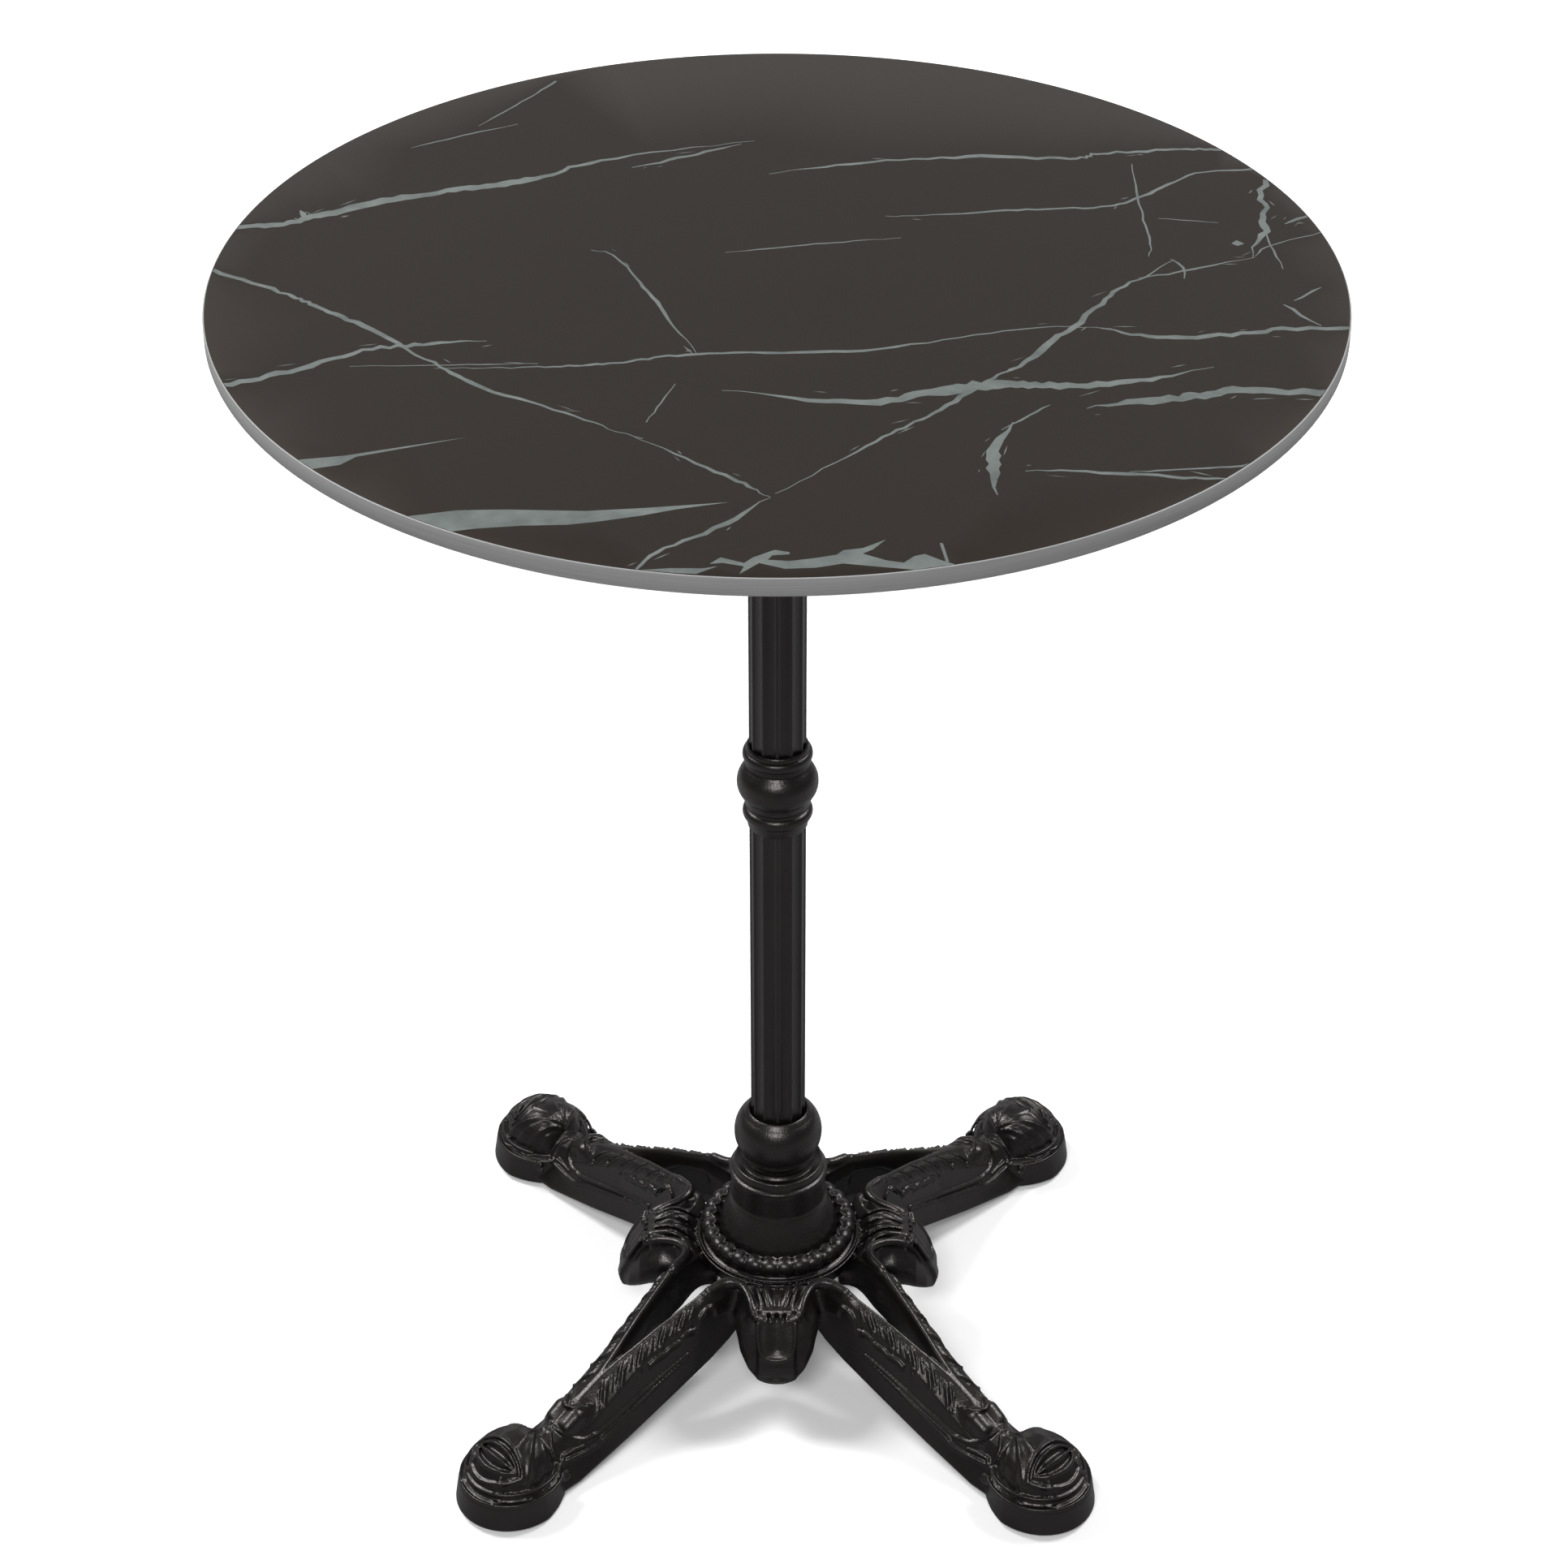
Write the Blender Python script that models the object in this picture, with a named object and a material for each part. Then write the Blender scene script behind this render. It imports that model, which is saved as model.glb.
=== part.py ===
"""Round cafe table on a four-legged cast-iron pedestal.

Metres, +Z up. The origin is on the floor, under the middle of the column. The four feet
point along the diagonals and the four knees of the base casting point along +-X and +-Y.
Everything above the base is a stack of castings that one tie rod clamps together.
"""

import math

import bmesh
import bpy

# Driving dimensions
MM = 0.001
TABLE_HEIGHT = 730 * MM
TOP_DIAMETER = 600 * MM
TOP_THICKNESS = 10 * MM
FOOT_REACH = 223 * MM  # from the column's axis to the middle of a foot
KNEE_REACH = 100 * MM  # from the column's axis to the nose of a knee
COLUMN_RADIUS = 16.4 * MM
FLUTES = 12
GAP = 0.3 * MM  # air left between pieces that touch

# Fastener sizes
TIE_ROD_RADIUS = 5 * MM
TIE_ROD_HOLE = 5.5 * MM
SCREW_RADIUS = 2.5 * MM
SCREW_CIRCLE = 130 * MM
LEVELLER_RADIUS = 4 * MM
LEVELLER_HOLE = 4.3 * MM
LEVELLER_REACH = 230 * MM

# Heights up the stack
PAD_HEIGHT = 6 * MM
HUB_BOTTOM = 60 * MM
HUB_WEB_BOTTOM = 66 * MM
RIM_HEIGHT = 74 * MM
BELL_SEAT = 82 * MM
BELL_TOP = 134 * MM
BALL_TOP = 174 * MM
COLUMN_FOOT = 164 * MM
KNOP_BOTTOM = 384 * MM
KNOP_TOP = 439 * MM
KNOP_WEB_BOTTOM = 408 * MM
KNOP_WEB_TOP = 418 * MM
TOP_UNDERSIDE = TABLE_HEIGHT - TOP_THICKNESS
SPIDER_TOP = TOP_UNDERSIDE - GAP
SPIDER_WEB_TOP = SPIDER_TOP - 9.7 * MM
SPIDER_WEB_BOTTOM = SPIDER_WEB_TOP - 6 * MM
SPIDER_HUB_BOTTOM = SPIDER_WEB_BOTTOM - 10 * MM
ARM_THICKNESS = 6 * MM
NUT_RECESS = 13.5 * MM
ARM_ROOT = 14 * MM
RIB_END = 108 * MM

ROUND = 40  # sides of an ordinary turned piece
FINE_ROUND = 96  # sides of the table top
SMALL_ROUND = 16  # sides of a fastener
QUARTER_TURNS = [0, 90, 180, 270]
LEG_TURNS = {"front_left": 225, "front_right": 315, "back_right": 45, "back_left": 135}


def millimetres(*pairs):
    """Pairs given in millimetres, in metres."""
    return [(first * MM, second * MM) for first, second in pairs]


def clear_scene():
    for obj in list(bpy.data.objects):
        bpy.data.objects.remove(obj, do_unlink=True)


def make_material(name, colour, roughness, metallic):
    material = bpy.data.materials.new(name)
    material.use_nodes = True
    shader = material.node_tree.nodes["Principled BSDF"]
    shader.inputs["Base Color"].default_value = (*colour, 1.0)
    shader.inputs["Roughness"].default_value = roughness
    shader.inputs["Metallic"].default_value = metallic
    return material


def mesh_object(name, points, faces, material, smooth_angle=35):
    """A closed mesh object whose faces all point outwards."""
    mesh = bpy.data.meshes.new(name)
    mesh.from_pydata([tuple(point) for point in points], [], faces)
    shape = bmesh.new()
    shape.from_mesh(mesh)
    bmesh.ops.recalc_face_normals(shape, faces=shape.faces)
    shape.to_mesh(mesh)
    shape.free()
    mesh.materials.append(material)
    mesh.shade_smooth()
    mesh.set_sharp_from_angle(angle=math.radians(smooth_angle))
    obj = bpy.data.objects.new(name, mesh)
    bpy.context.scene.collection.objects.link(obj)
    return obj


def stack_rings(rings, closed=False):
    """Points and faces of a skin over equal-sized rings, with its ends capped or joined."""
    size = len(rings[0])
    points = [point for ring in rings for point in ring]
    faces = []
    spans = len(rings) if closed else len(rings) - 1
    for row in range(spans):
        low = row * size
        high = ((row + 1) % len(rings)) * size
        for i in range(size):
            j = (i + 1) % size
            faces.append((low + i, low + j, high + j, high + i))
    if not closed:
        faces.append(tuple(reversed(range(size))))
        faces.append(tuple(range((len(rings) - 1) * size, len(rings) * size)))
    return points, faces


def circle(radius, height, sides, shape=None):
    """One level ring of points. shape gives the radius's multiplier at each angle."""
    ring = []
    for i in range(sides):
        angle = 2 * math.pi * i / sides
        reach = radius * (shape(angle) if shape else 1)
        ring.append((reach * math.cos(angle), reach * math.sin(angle), height))
    return ring


def turned(name, profile, material, sides=ROUND):
    """A bored lathe piece from a closed loop of (radius, height) pairs."""
    rings = [circle(radius, height, sides) for radius, height in profile]
    points, faces = stack_rings(rings, closed=True)
    return mesh_object(name, points, faces, material)


def stacked(name, profile, material, sides):
    """A solid of (radius, height) rings whose first and last rings are closed by flat faces."""
    points, faces = stack_rings([circle(radius, height, sides) for radius, height in profile])
    return mesh_object(name, points, faces, material)


def arc(centre, radius, start, end, steps):
    """(radius, height) pairs along an arc in a lathe profile. Angles are in degrees."""
    pairs = []
    for i in range(steps + 1):
        angle = math.radians(start + (end - start) * i / steps)
        out = centre[0] + radius[0] * math.cos(angle)
        up = centre[1] + radius[1] * math.sin(angle)
        pairs.append((out, up))
    return pairs


def helper(name, points, faces):
    """A solid that only cuts or joins, and isn't a piece of the table."""
    obj = mesh_object(name, points, faces, bpy.data.materials["cast_iron"])
    obj.hide_render = True
    obj.display_type = "WIRE"
    return obj


def combine(obj, tools, operation):
    for tool in tools:
        modifier = obj.modifiers.new(f"{operation.lower()}_{tool.name}", "BOOLEAN")
        modifier.operation = operation
        modifier.object = tool


def cylinder_tool(name, radius, low, high, place=(0, 0), sides=SMALL_ROUND):
    points, faces = stack_rings([circle(radius, low, sides), circle(radius, high, sides)])
    obj = helper(name, points, faces)
    obj.location = (place[0], place[1], 0)
    return obj


def polar(radius, degrees):
    """The x and y of a point at this distance and bearing."""
    angle = math.radians(degrees)
    return radius * math.cos(angle), radius * math.sin(angle)


def interpolate(table, at):
    """Straight-line interpolation in a table of (position, value) pairs."""
    if at <= table[0][0]:
        return table[0][1]
    for (a, low), (b, high) in zip(table, table[1:]):
        if at <= b:
            return low + (high - low) * (at - a) / (b - a)
    return table[-1][1]


# The legs: each is a pair of upright rails side by side that run down to one foot. A leg is
# drawn along +X, and turned to its diagonal.

LEG_START = 44 * MM
LEG_END = 206 * MM
LEG_STATIONS = 9
# Each pair is a distance from the column's axis and the size there.
RAIL_BOTTOM = millimetres((44, 42), (80, 31), (110, 23), (150, 13), (190, 5))
RAIL_RIDGE = millimetres((44, 80), (62, 82), (80, 79), (110, 69), (150, 52), (190, 36), (206, 34))
RAIL_FACE = millimetres((44, 22), (110, 23), (190, 24.5))
RIDGE_OFFSET = millimetres((44, 18), (62, 18), (90, 12.5), (140, 2))
SHOULDER_OFFSET = millimetres((62, 21.5), (90, 19.5), (130, 14), (190, 14.5))
SHOULDER_DROP = millimetres((62, 6), (130, 6), (190, 12))
VALLEY_DEPTH = millimetres((115, 12), (145, 1), (206, 0.6))
SLOT_HALF_WIDTH = millimetres((43, 14), (62, 14), (90, 9), (126, 2))
HOLLOW_HALF_WIDTH = millimetres((114, 17), (184, 19.5))
HOLLOW_ROOF_DEPTH = 18 * MM  # below the ridges


def rail_section(reach):
    """The leg's cross-section at this distance from the axis, as (across, height) pairs."""
    low = interpolate(RAIL_BOTTOM, reach)
    high = interpolate(RAIL_RIDGE, reach)
    face = interpolate(RAIL_FACE, reach)
    ridge = interpolate(RIDGE_OFFSET, reach)
    shoulder = interpolate(SHOULDER_OFFSET, reach)
    drop = interpolate(SHOULDER_DROP, reach)
    valley = interpolate(VALLEY_DEPTH, reach)
    right = [
        (face, low),
        (face + 0.4 * (shoulder - face), low + 0.5 * (high - drop - low)),
        (shoulder, high - drop),
        (0.5 * (ridge + shoulder), high - 0.35 * drop),
        (ridge, high),
    ]
    left = [(-across, height) for across, height in reversed(right)]
    return right + [(0, high - valley)] + left


def leg_solid(corner):
    """One leg with the opening between its rails and the hollow under them cut out of it."""
    rings = []
    for i in range(LEG_STATIONS + 1):
        reach = LEG_START + (LEG_END - LEG_START) * i / LEG_STATIONS
        rings.append([(reach, across, height) for across, height in rail_section(reach)])
    leg = helper(f"tool_leg_{corner}", *stack_rings(rings))
    cuts = [slot_tool(f"tool_slot_{corner}"), hollow_tool(f"tool_hollow_{corner}")]
    combine(leg, cuts, "DIFFERENCE")
    return [leg] + cuts


def slot_tool(name):
    """The wedge of air between a leg's two rails, open to the floor."""
    low, high = 0, 110 * MM
    rings = []
    for reach, half in SLOT_HALF_WIDTH:
        rings.append([(reach, -half, low), (reach, half, low), (reach, half, high), (reach, -half, high)])
    return helper(name, *stack_rings(rings))


def hollow_tool(name):
    """The hollow under the outer half of a leg, open below, as a sand casting leaves it."""
    low = -1 * MM
    rings = []
    for reach, half in HOLLOW_HALF_WIDTH:
        roof = interpolate(RAIL_RIDGE, reach) - HOLLOW_ROOF_DEPTH
        narrow = half - 5 * MM
        corners = [(-half, low), (half, low), (narrow, roof), (-narrow, roof)]
        rings.append([(reach, across, height) for across, height in corners])
    return helper(name, *stack_rings(rings))


# The feet: a horseshoe sole with a ledge, and a domed claw on it.

FOOT_SIDES = 28
SOLE_RADIUS = 35 * MM
SOLE_HEEL = 31 * MM  # how far the flat heel is behind the middle of the foot
# Each pair is a height and how far the outline is drawn in there.
FOOT_LAYERS = millimetres((3, 0), (16, 2), (18, 5), (30, 8), (39, 14), (44, 20.5), (46.5, 28))
LEDGE_HEIGHT = 18 * MM
CLAW_LEAN = 0.2  # how far the claw's crown sets back from the toe, per unit of height


def foot_ring(height, inset):
    """The sole's outline drawn in by inset: round at the toe, flat and narrower at the heel."""
    ring = []
    radius = SOLE_RADIUS - inset
    lean = CLAW_LEAN * max(0, height - LEDGE_HEIGHT)
    for i in range(FOOT_SIDES):
        angle = 2 * math.pi * i / FOOT_SIDES
        along = radius * math.cos(angle)
        across = radius * math.sin(angle) * 0.94
        if along < 0:
            along = max(along, -(SOLE_HEEL - inset))
            across *= 1 - 0.16 * min(1, -along / SOLE_HEEL)
        ring.append((FOOT_REACH + along - lean, across, height))
    return ring


def foot_solid(name):
    points, faces = stack_rings([foot_ring(height, inset) for height, inset in FOOT_LAYERS])
    return helper(name, points, faces)


def foot_pocket(name):
    """The hollow under the claw, round the boss that the leveller screws into."""
    rings = [foot_ring(height, inset) for height, inset in ((-1 * MM, 6 * MM), (24 * MM, 14 * MM))]
    points, faces = stack_rings(rings)
    return helper(name, points, faces)


# The knees: rounded noses between the legs, drawn along +X.

KNEE_STATIONS = [0.4, 0.56, 0.68, 0.8, 0.9, 0.96, 1.0]  # as shares of KNEE_REACH
# Each pair is a distance from the column's axis and the size there.
KNEE_WIDTH = millimetres((40, 26), (74, 25), (86, 22), (95, 15), (100, 6))
KNEE_CROWN = millimetres((40, 74), (56, 82), (68, 82), (86, 72), (95, 63), (100, 52))
KNEE_KEEL = millimetres((40, 46), (70, 40), (90, 34), (97, 33.5), (100, 40))


def knee_solid(name):
    rings = []
    for station in KNEE_STATIONS:
        reach = station * KNEE_REACH
        half = interpolate(KNEE_WIDTH, reach)
        crown = interpolate(KNEE_CROWN, reach)
        keel = interpolate(KNEE_KEEL, reach)
        waist = keel + 0.55 * (crown - keel)
        under = arc((0, waist), (half, waist - keel), 180, 360, 8)
        over = arc((0, waist), (half, crown - waist), 22, 158, 6)
        rings.append([(reach, across, height) for across, height in under + over])
    points, faces = stack_rings(rings)
    return helper(name, points, faces)


def hub_profile():
    """The middle of the base: a hollow drum, a rim, a round bead and the seat for the bell."""
    bead = arc((42.5 * MM, 80 * MM), (5.5 * MM, 6 * MM), -35, 150, 5)
    return [
        (TIE_ROD_HOLE, HUB_WEB_BOTTOM),
        (36 * MM, HUB_WEB_BOTTOM),
        (38 * MM, HUB_BOTTOM),
        (46.5 * MM, HUB_BOTTOM),
        (47 * MM, 69 * MM),
        (48.8 * MM, 70 * MM),
        (48.8 * MM, RIM_HEIGHT - 1 * MM),
        (47.5 * MM, RIM_HEIGHT),
        *bead,
        (37.3 * MM, BELL_SEAT),
        (TIE_ROD_HOLE, BELL_SEAT),
    ]


def build_base(iron):
    """The one-piece base casting, built from its hub, legs, feet and knees."""
    base = turned("base_casting", hub_profile(), iron)
    joined = []
    pockets = []
    for corner, turn in LEG_TURNS.items():
        leg_and_cuts = leg_solid(corner)
        foot = foot_solid(f"tool_foot_{corner}")
        pocket = foot_pocket(f"tool_pocket_{corner}")
        for tool in leg_and_cuts + [foot, pocket]:
            tool.rotation_euler.z = math.radians(turn)
        joined += [leg_and_cuts[0], foot]
        pockets.append(pocket)
    for turn in QUARTER_TURNS:
        knee = knee_solid(f"tool_knee_{turn}")
        knee.rotation_euler.z = math.radians(turn)
        joined.append(knee)
    combine(base, joined, "UNION")
    combine(base, pockets, "DIFFERENCE")
    bosses = []
    bores = []
    for corner, turn in LEG_TURNS.items():
        place = polar(LEVELLER_REACH, turn)
        bosses.append(cylinder_tool(f"tool_boss_{corner}", 9 * MM, PAD_HEIGHT + 2 * MM, 30 * MM, place))
        bores.append(cylinder_tool(f"tool_bore_{corner}", LEVELLER_HOLE, -1 * MM, 38 * MM, place))
    combine(base, bosses, "UNION")
    combine(base, bores, "DIFFERENCE")
    return base


PAD_PROFILE = millimetres(
    (21.4, 0), (22, 1.2), (21.5, 2.4), (14, 3.2), (9, 6), (4.6, 6), (4.6, 2.2)
)
STUD_PROFILE = millimetres((3.5, 2.5), (4, 3), (4, 27), (3, 28))


def build_levellers(steel, plastic):
    """One glide and one threaded stud for each foot. The glide's socket holds the stud's end."""
    for corner, turn in LEG_TURNS.items():
        x, y = polar(LEVELLER_REACH, turn)
        axis = bpy.data.objects.new(f"leveller_axis_{corner}", None)
        axis.location = (x, y, 0)
        bpy.context.scene.collection.objects.link(axis)
        pad = stacked(f"leveller_pad_{corner}", PAD_PROFILE, plastic, sides=24)
        pad.parent = axis
        stud = stacked(f"leveller_stud_{corner}", STUD_PROFILE, steel, sides=SMALL_ROUND)
        stud.parent = axis


def build_stack(iron):
    """The bell, the ball socket, the two fluted tubes and the knop between them."""
    bell = [
        (TIE_ROD_HOLE, BELL_TOP - 8 * MM),
        (24 * MM, BELL_TOP - 8 * MM),
        (25 * MM, 100 * MM),
        (32 * MM, BELL_SEAT + GAP),
        (36.8 * MM, BELL_SEAT + GAP),
        (36.4 * MM, 84 * MM),
        (33.6 * MM, 94 * MM),
        (31 * MM, 102 * MM),
        (29.8 * MM, 110 * MM),
        (29.4 * MM, 124 * MM),
        (30.2 * MM, 126 * MM),
        (29.8 * MM, 129 * MM),
        (26.5 * MM, BELL_TOP),
        (TIE_ROD_HOLE, BELL_TOP),
    ]
    turned("pedestal_bell", bell, iron)
    middle = 0.5 * (BELL_TOP + BALL_TOP)
    ball_curve = arc((16 * MM, middle), (11 * MM, 19 * MM), -65, 78, 9)
    ball = [
        (TIE_ROD_HOLE, COLUMN_FOOT - GAP),
        (TIE_ROD_HOLE, BELL_TOP + GAP),
        (20.5 * MM, BELL_TOP + GAP),
        *ball_curve,
        (COLUMN_RADIUS + GAP, BALL_TOP - 2 * MM),
        (COLUMN_RADIUS + GAP, COLUMN_FOOT - GAP),
    ]
    turned("ball_socket", ball, iron)
    fluted_tube("lower_column", COLUMN_FOOT, KNOP_WEB_BOTTOM - GAP, iron)
    fluted_tube("upper_column", KNOP_WEB_TOP + GAP, SPIDER_WEB_BOTTOM - GAP, iron)
    belly = arc((14.5 * MM, 413.5 * MM), (9 * MM, 13 * MM), -58, 58, 8)
    lower_ring = arc((17.2 * MM, 393.5 * MM), (3 * MM, 4 * MM), -80, 70, 4)
    upper_ring = arc((17.4 * MM, 434 * MM), (3 * MM, 4 * MM), -70, 80, 4)
    inner = COLUMN_RADIUS + GAP
    knop = [
        (TIE_ROD_HOLE, KNOP_WEB_TOP),
        (TIE_ROD_HOLE, KNOP_WEB_BOTTOM),
        (inner, KNOP_WEB_BOTTOM),
        (inner, KNOP_BOTTOM),
        (17.6 * MM, KNOP_BOTTOM),
        *lower_ring,
        *belly,
        *upper_ring,
        (inner, KNOP_TOP),
        (inner, KNOP_WEB_TOP),
    ]
    turned("column_knop", knop, iron)


def flute_shape(angle):
    """The column's radius as a share of its full one: flutes scooped between sharp arrises."""
    scoop = abs(math.sin(angle * FLUTES / 2))
    return 1 - 0.085 * scoop


def fluted_tube(name, low, high, iron):
    sides = FLUTES * 6
    rings = [
        circle(11 * MM, low, sides),
        circle(COLUMN_RADIUS, low, sides, flute_shape),
        circle(COLUMN_RADIUS, high, sides, flute_shape),
        circle(11 * MM, high, sides),
    ]
    points, faces = stack_rings(rings, closed=True)
    return mesh_object(name, points, faces, iron, smooth_angle=50)


def build_tie_rod(steel):
    """The rod that clamps the stack, with a nut and washer at each end."""
    low = HUB_WEB_BOTTOM - 16 * MM
    high = SPIDER_TOP - 1 * MM
    chamfer = 0.8 * MM
    profile = [
        (TIE_ROD_RADIUS - chamfer, low),
        (TIE_ROD_RADIUS, low + chamfer),
        (TIE_ROD_RADIUS, high - chamfer),
        (TIE_ROD_RADIUS - chamfer, high),
    ]
    stacked("tie_rod", profile, steel, sides=SMALL_ROUND)
    flat_ring("upper_washer", 10.5 * MM, SPIDER_WEB_TOP + GAP, 1.6 * MM, steel)
    hex_nut("upper_nut", 17 * MM, SPIDER_WEB_TOP + 2.2 * MM, 6 * MM, steel)
    flat_ring("lower_washer", 15 * MM, HUB_WEB_BOTTOM - 2.8 * MM, 2.5 * MM, steel)
    flat_ring("lock_washer", 9 * MM, HUB_WEB_BOTTOM - 5.1 * MM, 2 * MM, steel)
    hex_nut("lower_nut", 17 * MM, HUB_WEB_BOTTOM - 13.4 * MM, 8 * MM, steel)


def flat_ring(name, radius, low, thickness, steel):
    bore = TIE_ROD_RADIUS + GAP
    profile = [(bore, low), (radius, low), (radius, low + thickness), (bore, low + thickness)]
    turned(name, profile, steel, sides=2 * SMALL_ROUND)


def hex_nut(name, across_flats, low, thickness, steel):
    """A hexagon nut with a plain bore; the ring of 36 points follows its flats."""
    sides = 36

    def flats(angle):
        sector = (angle + math.pi / 6) % (math.pi / 3) - math.pi / 6
        return 1 / math.cos(sector)

    bore = TIE_ROD_RADIUS + GAP
    rings = [
        circle(bore, low, sides),
        circle(across_flats / 2, low, sides, flats),
        circle(across_flats / 2, low + thickness, sides, flats),
        circle(bore, low + thickness, sides),
    ]
    points, faces = stack_rings(rings, closed=True)
    mesh_object(name, points, faces, steel, smooth_angle=20)


def bar_section(reach, half_width, low, high):
    """A rectangle across an arm at this distance from the column's axis."""
    corners = [(-half_width, low), (half_width, low), (half_width, high), (-half_width, high)]
    return [(reach, across, height) for across, height in corners]


def arm_solid(name):
    """One arm of the spider: a plate that tapers outwards, and the stiffening rib under it."""
    low = SPIDER_TOP - ARM_THICKNESS
    tip = SCREW_CIRCLE + 12 * MM
    plate_rings = [
        bar_section(ARM_ROOT, 15 * MM, low, SPIDER_TOP),
        bar_section(tip - 6 * MM, 10 * MM, low, SPIDER_TOP),
        bar_section(tip, 5.5 * MM, low, SPIDER_TOP),
    ]
    rib_top = low + 1 * MM
    rib_rings = [
        bar_section(ARM_ROOT, 2.5 * MM, rib_top - 14 * MM, rib_top),
        bar_section(RIB_END, 2.5 * MM, rib_top - 2 * MM, rib_top),
    ]
    plate = helper(name, *stack_rings(plate_rings))
    rib = helper(name + "_rib", *stack_rings(rib_rings))
    return [plate, rib]


def build_spider(iron):
    """The cast cross that carries the top: a socket for the column and four drilled arms."""
    inner = COLUMN_RADIUS + GAP
    profile = [
        (TIE_ROD_HOLE, SPIDER_WEB_TOP),
        (TIE_ROD_HOLE, SPIDER_WEB_BOTTOM),
        (inner, SPIDER_WEB_BOTTOM),
        (inner, SPIDER_HUB_BOTTOM),
        (22 * MM, SPIDER_HUB_BOTTOM),
        (24 * MM, SPIDER_HUB_BOTTOM + 3 * MM),
        (24 * MM, SPIDER_TOP),
        (NUT_RECESS, SPIDER_TOP),
        (NUT_RECESS, SPIDER_WEB_TOP),
    ]
    spider = turned("top_spider", profile, iron)
    above = SPIDER_TOP + 5 * MM
    arms = []
    holes = []
    for turn in QUARTER_TURNS:
        for tool in arm_solid(f"tool_arm_{turn}"):
            tool.rotation_euler.z = math.radians(turn + 45)
            arms.append(tool)
        place = polar(SCREW_CIRCLE, turn + 45)
        hole = f"tool_arm_hole_{turn}"
        holes.append(cylinder_tool(hole, 3.1 * MM, SPIDER_TOP - 12 * MM, above, place))
    below = SPIDER_HUB_BOTTOM - 5 * MM
    socket = cylinder_tool("tool_socket", inner, below, SPIDER_WEB_BOTTOM, sides=ROUND)
    recess = cylinder_tool("tool_recess", NUT_RECESS, SPIDER_WEB_TOP, above, sides=ROUND)
    combine(spider, arms, "UNION")
    combine(spider, holes + [socket, recess], "DIFFERENCE")


def build_top(laminate, brass, steel):
    """The compact-laminate disc, its threaded inserts and the screws from the spider."""
    radius = TOP_DIAMETER / 2
    chamfer = 0.8 * MM
    profile = [
        (radius - chamfer, TOP_UNDERSIDE),
        (radius, TOP_UNDERSIDE + chamfer),
        (radius, TABLE_HEIGHT - chamfer),
        (radius - chamfer, TABLE_HEIGHT),
    ]
    top = stacked("table_top", profile, laminate, sides=FINE_ROUND)
    insert_top = TOP_UNDERSIDE + 7.5 * MM
    below = TOP_UNDERSIDE - 5 * MM
    sockets = []
    for number, turn in enumerate(QUARTER_TURNS, start=1):
        place = polar(SCREW_CIRCLE, turn + 45)
        socket = f"tool_insert_hole_{number}"
        sockets.append(cylinder_tool(socket, 4.3 * MM, below, insert_top + GAP, place))
        build_insert(number, place, insert_top, brass)
        build_screw(number, place, steel)
    combine(top, sockets, "DIFFERENCE")


def build_insert(number, place, high, brass):
    low = TOP_UNDERSIDE + 0.2 * MM
    bore, rim = SCREW_RADIUS + GAP, 4 * MM
    profile = [(bore, low), (rim, low), (rim, high), (bore, high)]
    insert = turned(f"top_insert_{number}", profile, brass, sides=SMALL_ROUND)
    insert.location = (*place, 0)


def build_screw(number, place, steel):
    seat = SPIDER_TOP - ARM_THICKNESS - GAP
    profile = [
        (3.6 * MM, seat - 3 * MM),
        (4.8 * MM, seat - 2 * MM),
        (4.8 * MM, seat),
        (SCREW_RADIUS, seat),
        (SCREW_RADIUS, TOP_UNDERSIDE + 6 * MM),
    ]
    screw = stacked(f"top_screw_{number}", profile, steel, sides=SMALL_ROUND)
    screw.location = (*place, 0)


def main():
    clear_scene()
    iron = make_material("cast_iron", (0.018, 0.017, 0.017), 0.42, 0.0)
    steel = make_material("zinc_steel", (0.62, 0.62, 0.63), 0.35, 1.0)
    brass = make_material("brass", (0.72, 0.53, 0.26), 0.3, 1.0)
    plastic = make_material("glide_plastic", (0.02, 0.02, 0.02), 0.6, 0.0)
    laminate = make_material("compact_laminate", (0.035, 0.03, 0.027), 0.5, 0.0)
    build_base(iron)
    build_levellers(steel, plastic)
    build_stack(iron)
    build_tie_rod(steel)
    build_spider(iron)
    build_top(laminate, brass, steel)


main()
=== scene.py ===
"""A bistro table, finished: sculpted iron castings, a veined laminate top and its hardware.

Shapes are worked out in millimetres and scaled to metres when their meshes are made. The
castings of the base and the spider come from distance fields with eight-fold symmetry; the
turned and threaded pieces are ring meshes; the top is a disc with its veins inlaid.
"""

import copy
import math
import random
from types import SimpleNamespace

import bmesh
import bpy
import numpy as np
import openvdb
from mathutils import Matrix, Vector, geometry, noise

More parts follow.
